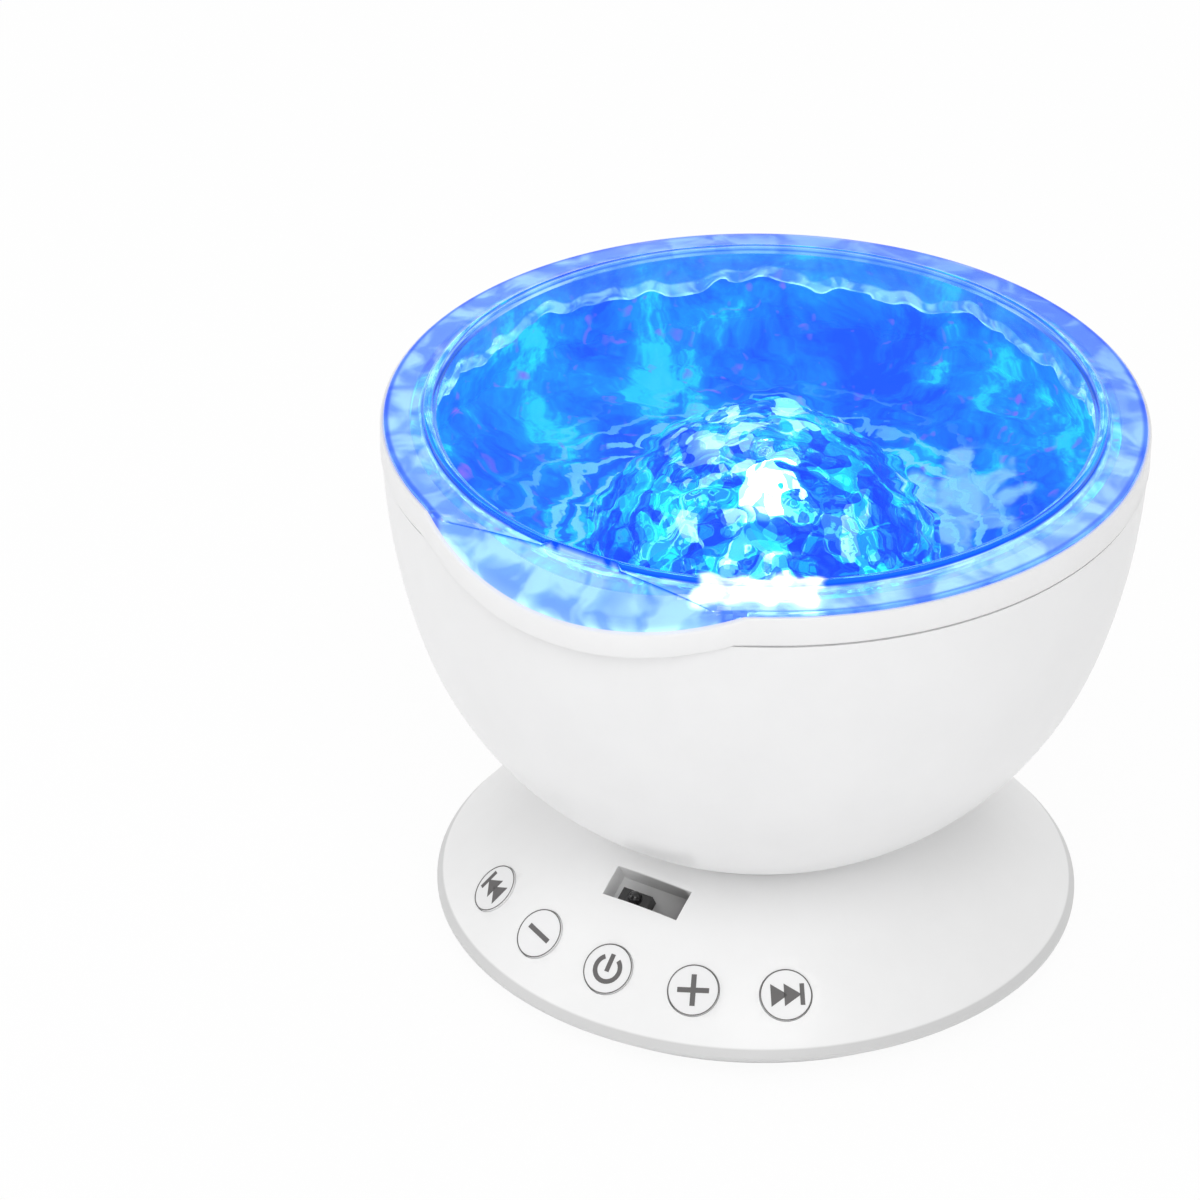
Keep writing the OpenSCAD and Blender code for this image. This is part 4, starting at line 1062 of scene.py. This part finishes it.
class PROJECTOR_OT_inner_pieces(bpy.types.Operator):
    """Finishes the feet, screws, sockets, boards, loudspeaker, drive and tilt joint"""

    bl_idname = "projector.inner_pieces"
    bl_label = "Inner Pieces"

    def execute(self, context):
        finish_nodes(moulded("Foot rubber", (0.05, 0.05, 0.053), 0.75, 1500, 0.5),
                     "rubber_feet", "speaker_gasket")
        finish_nodes(moulded("Plated steel", (0.62, 0.63, 0.65), 0.3, 1200, 0.1, metal=1.0),
                     "base_screws", "speaker_screws", "board_screws", "chassis_screws", "led_screws",
                     "motor_screws", "spring_washers", "motor_shaft", "speaker_magnet")
        finish_nodes(moulded("Socket black", (0.018, 0.018, 0.02), 0.4, 1400, 0.2),
                     "power_socket", "audio_socket", "tact_switches")
        finish_nodes(moulded("Receiver black", (0.010, 0.009, 0.010), 0.12, coat=0.6), "ir_receiver")
        finish_nodes(moulded("Cone paper", (0.025, 0.025, 0.027), 0.85, 2200, 0.8), "speaker_cone")
        finish_nodes(moulded("Grey moulding", (0.38, 0.39, 0.41), 0.5),
                     "switch_carrier", "tilt_shoe", "chassis_plate")
        finish_nodes(moulded("Board green", (0.02, 0.14, 0.06), 0.35, 600, 0.3),
                     "control_board", "switch_boards")
        finish_nodes(moulded("Motor steel", (0.45, 0.46, 0.48), 0.38, 1100, 0.1, metal=0.9),
                     "drive_motor", "speaker_basket")
        finish_nodes(moulded("Turned brass", (0.72, 0.52, 0.22), 0.28, 900, 0.1, metal=1.0),
                     "pivot_tube", "pivot_nuts", "motor_pinion")
        return {"FINISHED"}


class PROJECTOR_OT_stage(bpy.types.Operator):
    """Makes the floor, the soft lights and the camera"""

    bl_idname = "projector.stage"
    bl_label = "Stage"

    def execute(self, context):
        sizes, _ = settings()
        scene = context.scene
        scene.view_settings.view_transform = "Standard"
        floor = bpy.data.objects.new("floor", bpy.data.meshes.new("floor"))
        corners = [(x * FLOOR_REACH, y * FLOOR_REACH, FLOOR_LEVEL)
                   for x, y in ((-1, -1), (1, -1), (1, 1), (-1, 1))]
        floor.data.from_pydata(corners, [], [(0, 1, 2, 3)])
        scene.collection.objects.link(floor)
        floor.data.materials.append(floor_finish())
        scene.world = studio_world()
        for name, (place, size, power) in LAMPS.items():
            lamp = bpy.data.lights.new(name, "AREA")
            lamp.energy = power
            lamp.shape = "DISK"
            lamp.size = size
            light = bpy.data.objects.new(name, lamp)
            light.location = place
            light.rotation_euler = (LAMP_TARGET - light.location).to_track_quat("-Z", "Y").to_euler()
            scene.collection.objects.link(light)
        scene.camera = photo_camera(sizes)
        scene.collection.objects.link(scene.camera)
        return {"FINISHED"}


def seen_rays(nodes, link):
    """1 for rays from the camera, or by way of gloss or clear plastic, and 0 for the rest."""
    path = nodes.new("ShaderNodeLightPath")
    total = path.outputs["Is Camera Ray"]
    for kind in ("Is Glossy Ray", "Is Transmission Ray"):
        total = math_on(nodes, link, "MAXIMUM", total, path.outputs[kind])
    return total


def floor_finish():
    """A pale floor that shows near white and keeps the object's shadow."""
    finish = bpy.data.materials.new("Pale floor")
    finish.use_nodes = True
    nodes, link = finish.node_tree.nodes, finish.node_tree.links.new
    nodes.clear()
    plain = nodes.new("ShaderNodeBsdfDiffuse")
    plain.inputs["Color"].default_value = (0.92, 0.92, 0.92, 1.0)
    glow = nodes.new("ShaderNodeEmission")
    mix = nodes.new("ShaderNodeMixShader")
    link(math_on(nodes, link, "MULTIPLY", seen_rays(nodes, link), FLOOR_SHOWN), mix.inputs["Fac"])
    link(plain.outputs["BSDF"], mix.inputs[1])
    link(glow.outputs["Emission"], mix.inputs[2])
    link(mix.outputs["Shader"], nodes.new("ShaderNodeOutputMaterial").inputs["Surface"])
    return finish


def studio_world():
    """A plain even light, seen as a white backdrop below a dimmer studio ceiling."""
    world = bpy.data.worlds.new("Studio")
    world.use_nodes = True
    nodes, link = world.node_tree.nodes, world.node_tree.links.new
    surround = nodes["Background"]
    surround.inputs["Color"].default_value = (1.0, 1.0, 1.0, 1.0)
    way = split(nodes, link, nodes.new("ShaderNodeTexCoord").outputs["Generated"])
    backdrop = spread(nodes, link, way["Z"], 1.0, 0.2, 0.10, 0.30)
    level = nodes.new("ShaderNodeMix")
    link(seen_rays(nodes, link), level.inputs["Factor"])
    level.inputs["A"].default_value = SURROUND
    link(backdrop, level.inputs["B"])
    link(level.outputs["Result"], surround.inputs["Strength"])
    return world


def photo_camera(sizes):
    """A long lens a metre away, front right of the object and above it."""
    lens = bpy.data.cameras.new("photo_view")
    lens.sensor_width = SENSOR
    lens.lens = SENSOR * FOCAL_PIXELS / FRAME_PIXELS
    lens.clip_end = 50.0
    camera = bpy.data.objects.new("photo_view", lens)
    stand = Matrix.Rotation(sizes.view_turn, 4, "Z")
    back = Matrix.Translation((0, -math.cos(CAMERA_LIFT), math.sin(CAMERA_LIFT)))
    aim = (Matrix.Rotation(CAMERA_PAN, 4, "Z") @ Matrix.Rotation(CAMERA_TILT, 4, "X")
           @ Matrix.Rotation(CAMERA_ROLL, 4, "Z"))
    camera.matrix_world = stand @ back @ aim
    return camera


class PROJECTOR_PT_panel(bpy.types.Panel):
    """Lists the projector's pieces"""

    bl_idname = "PROJECTOR_PT_panel"
    bl_label = "Ocean Wave Projector"
    bl_space_type = "VIEW_3D"
    bl_region_type = "UI"
    bl_category = "Projector"

    def draw(self, context):
        for maker in MAKERS:
            self.layout.operator(maker.bl_idname)
        for group in (context.scene.projector_sizes, context.scene.projector_colours):
            for key in group.__annotations__:
                self.layout.prop(group, key)


MAKERS = (PROJECTOR_OT_stage, PROJECTOR_OT_white_mouldings, PROJECTOR_OT_sea_light, PROJECTOR_OT_clear_cover,
          PROJECTOR_OT_ripple_dome, PROJECTOR_OT_button_prints, PROJECTOR_OT_inner_pieces)
CLASSES = (ProjectorSizes, ProjectorColours, *MAKERS, PROJECTOR_PT_panel)


def register():
    """Adds the properties, the operators and the panel."""
    for part in CLASSES:
        bpy.utils.register_class(part)
    bpy.types.Scene.projector_sizes = bpy.props.PointerProperty(type=ProjectorSizes)
    bpy.types.Scene.projector_colours = bpy.props.PointerProperty(type=ProjectorColours)


def unregister():
    """Removes what register adds."""
    del bpy.types.Scene.projector_colours
    del bpy.types.Scene.projector_sizes
    for part in reversed(CLASSES):
        bpy.utils.unregister_class(part)


def main():
    """Makes every piece and the stage."""
    register()
    bpy.ops.projector.stage()
    bpy.ops.projector.white_mouldings()
    bpy.ops.projector.sea_light()
    bpy.ops.projector.clear_cover()
    bpy.ops.projector.ripple_dome()
    bpy.ops.projector.button_prints()
    bpy.ops.projector.inner_pieces()


if __name__ == "__main__":
    main()
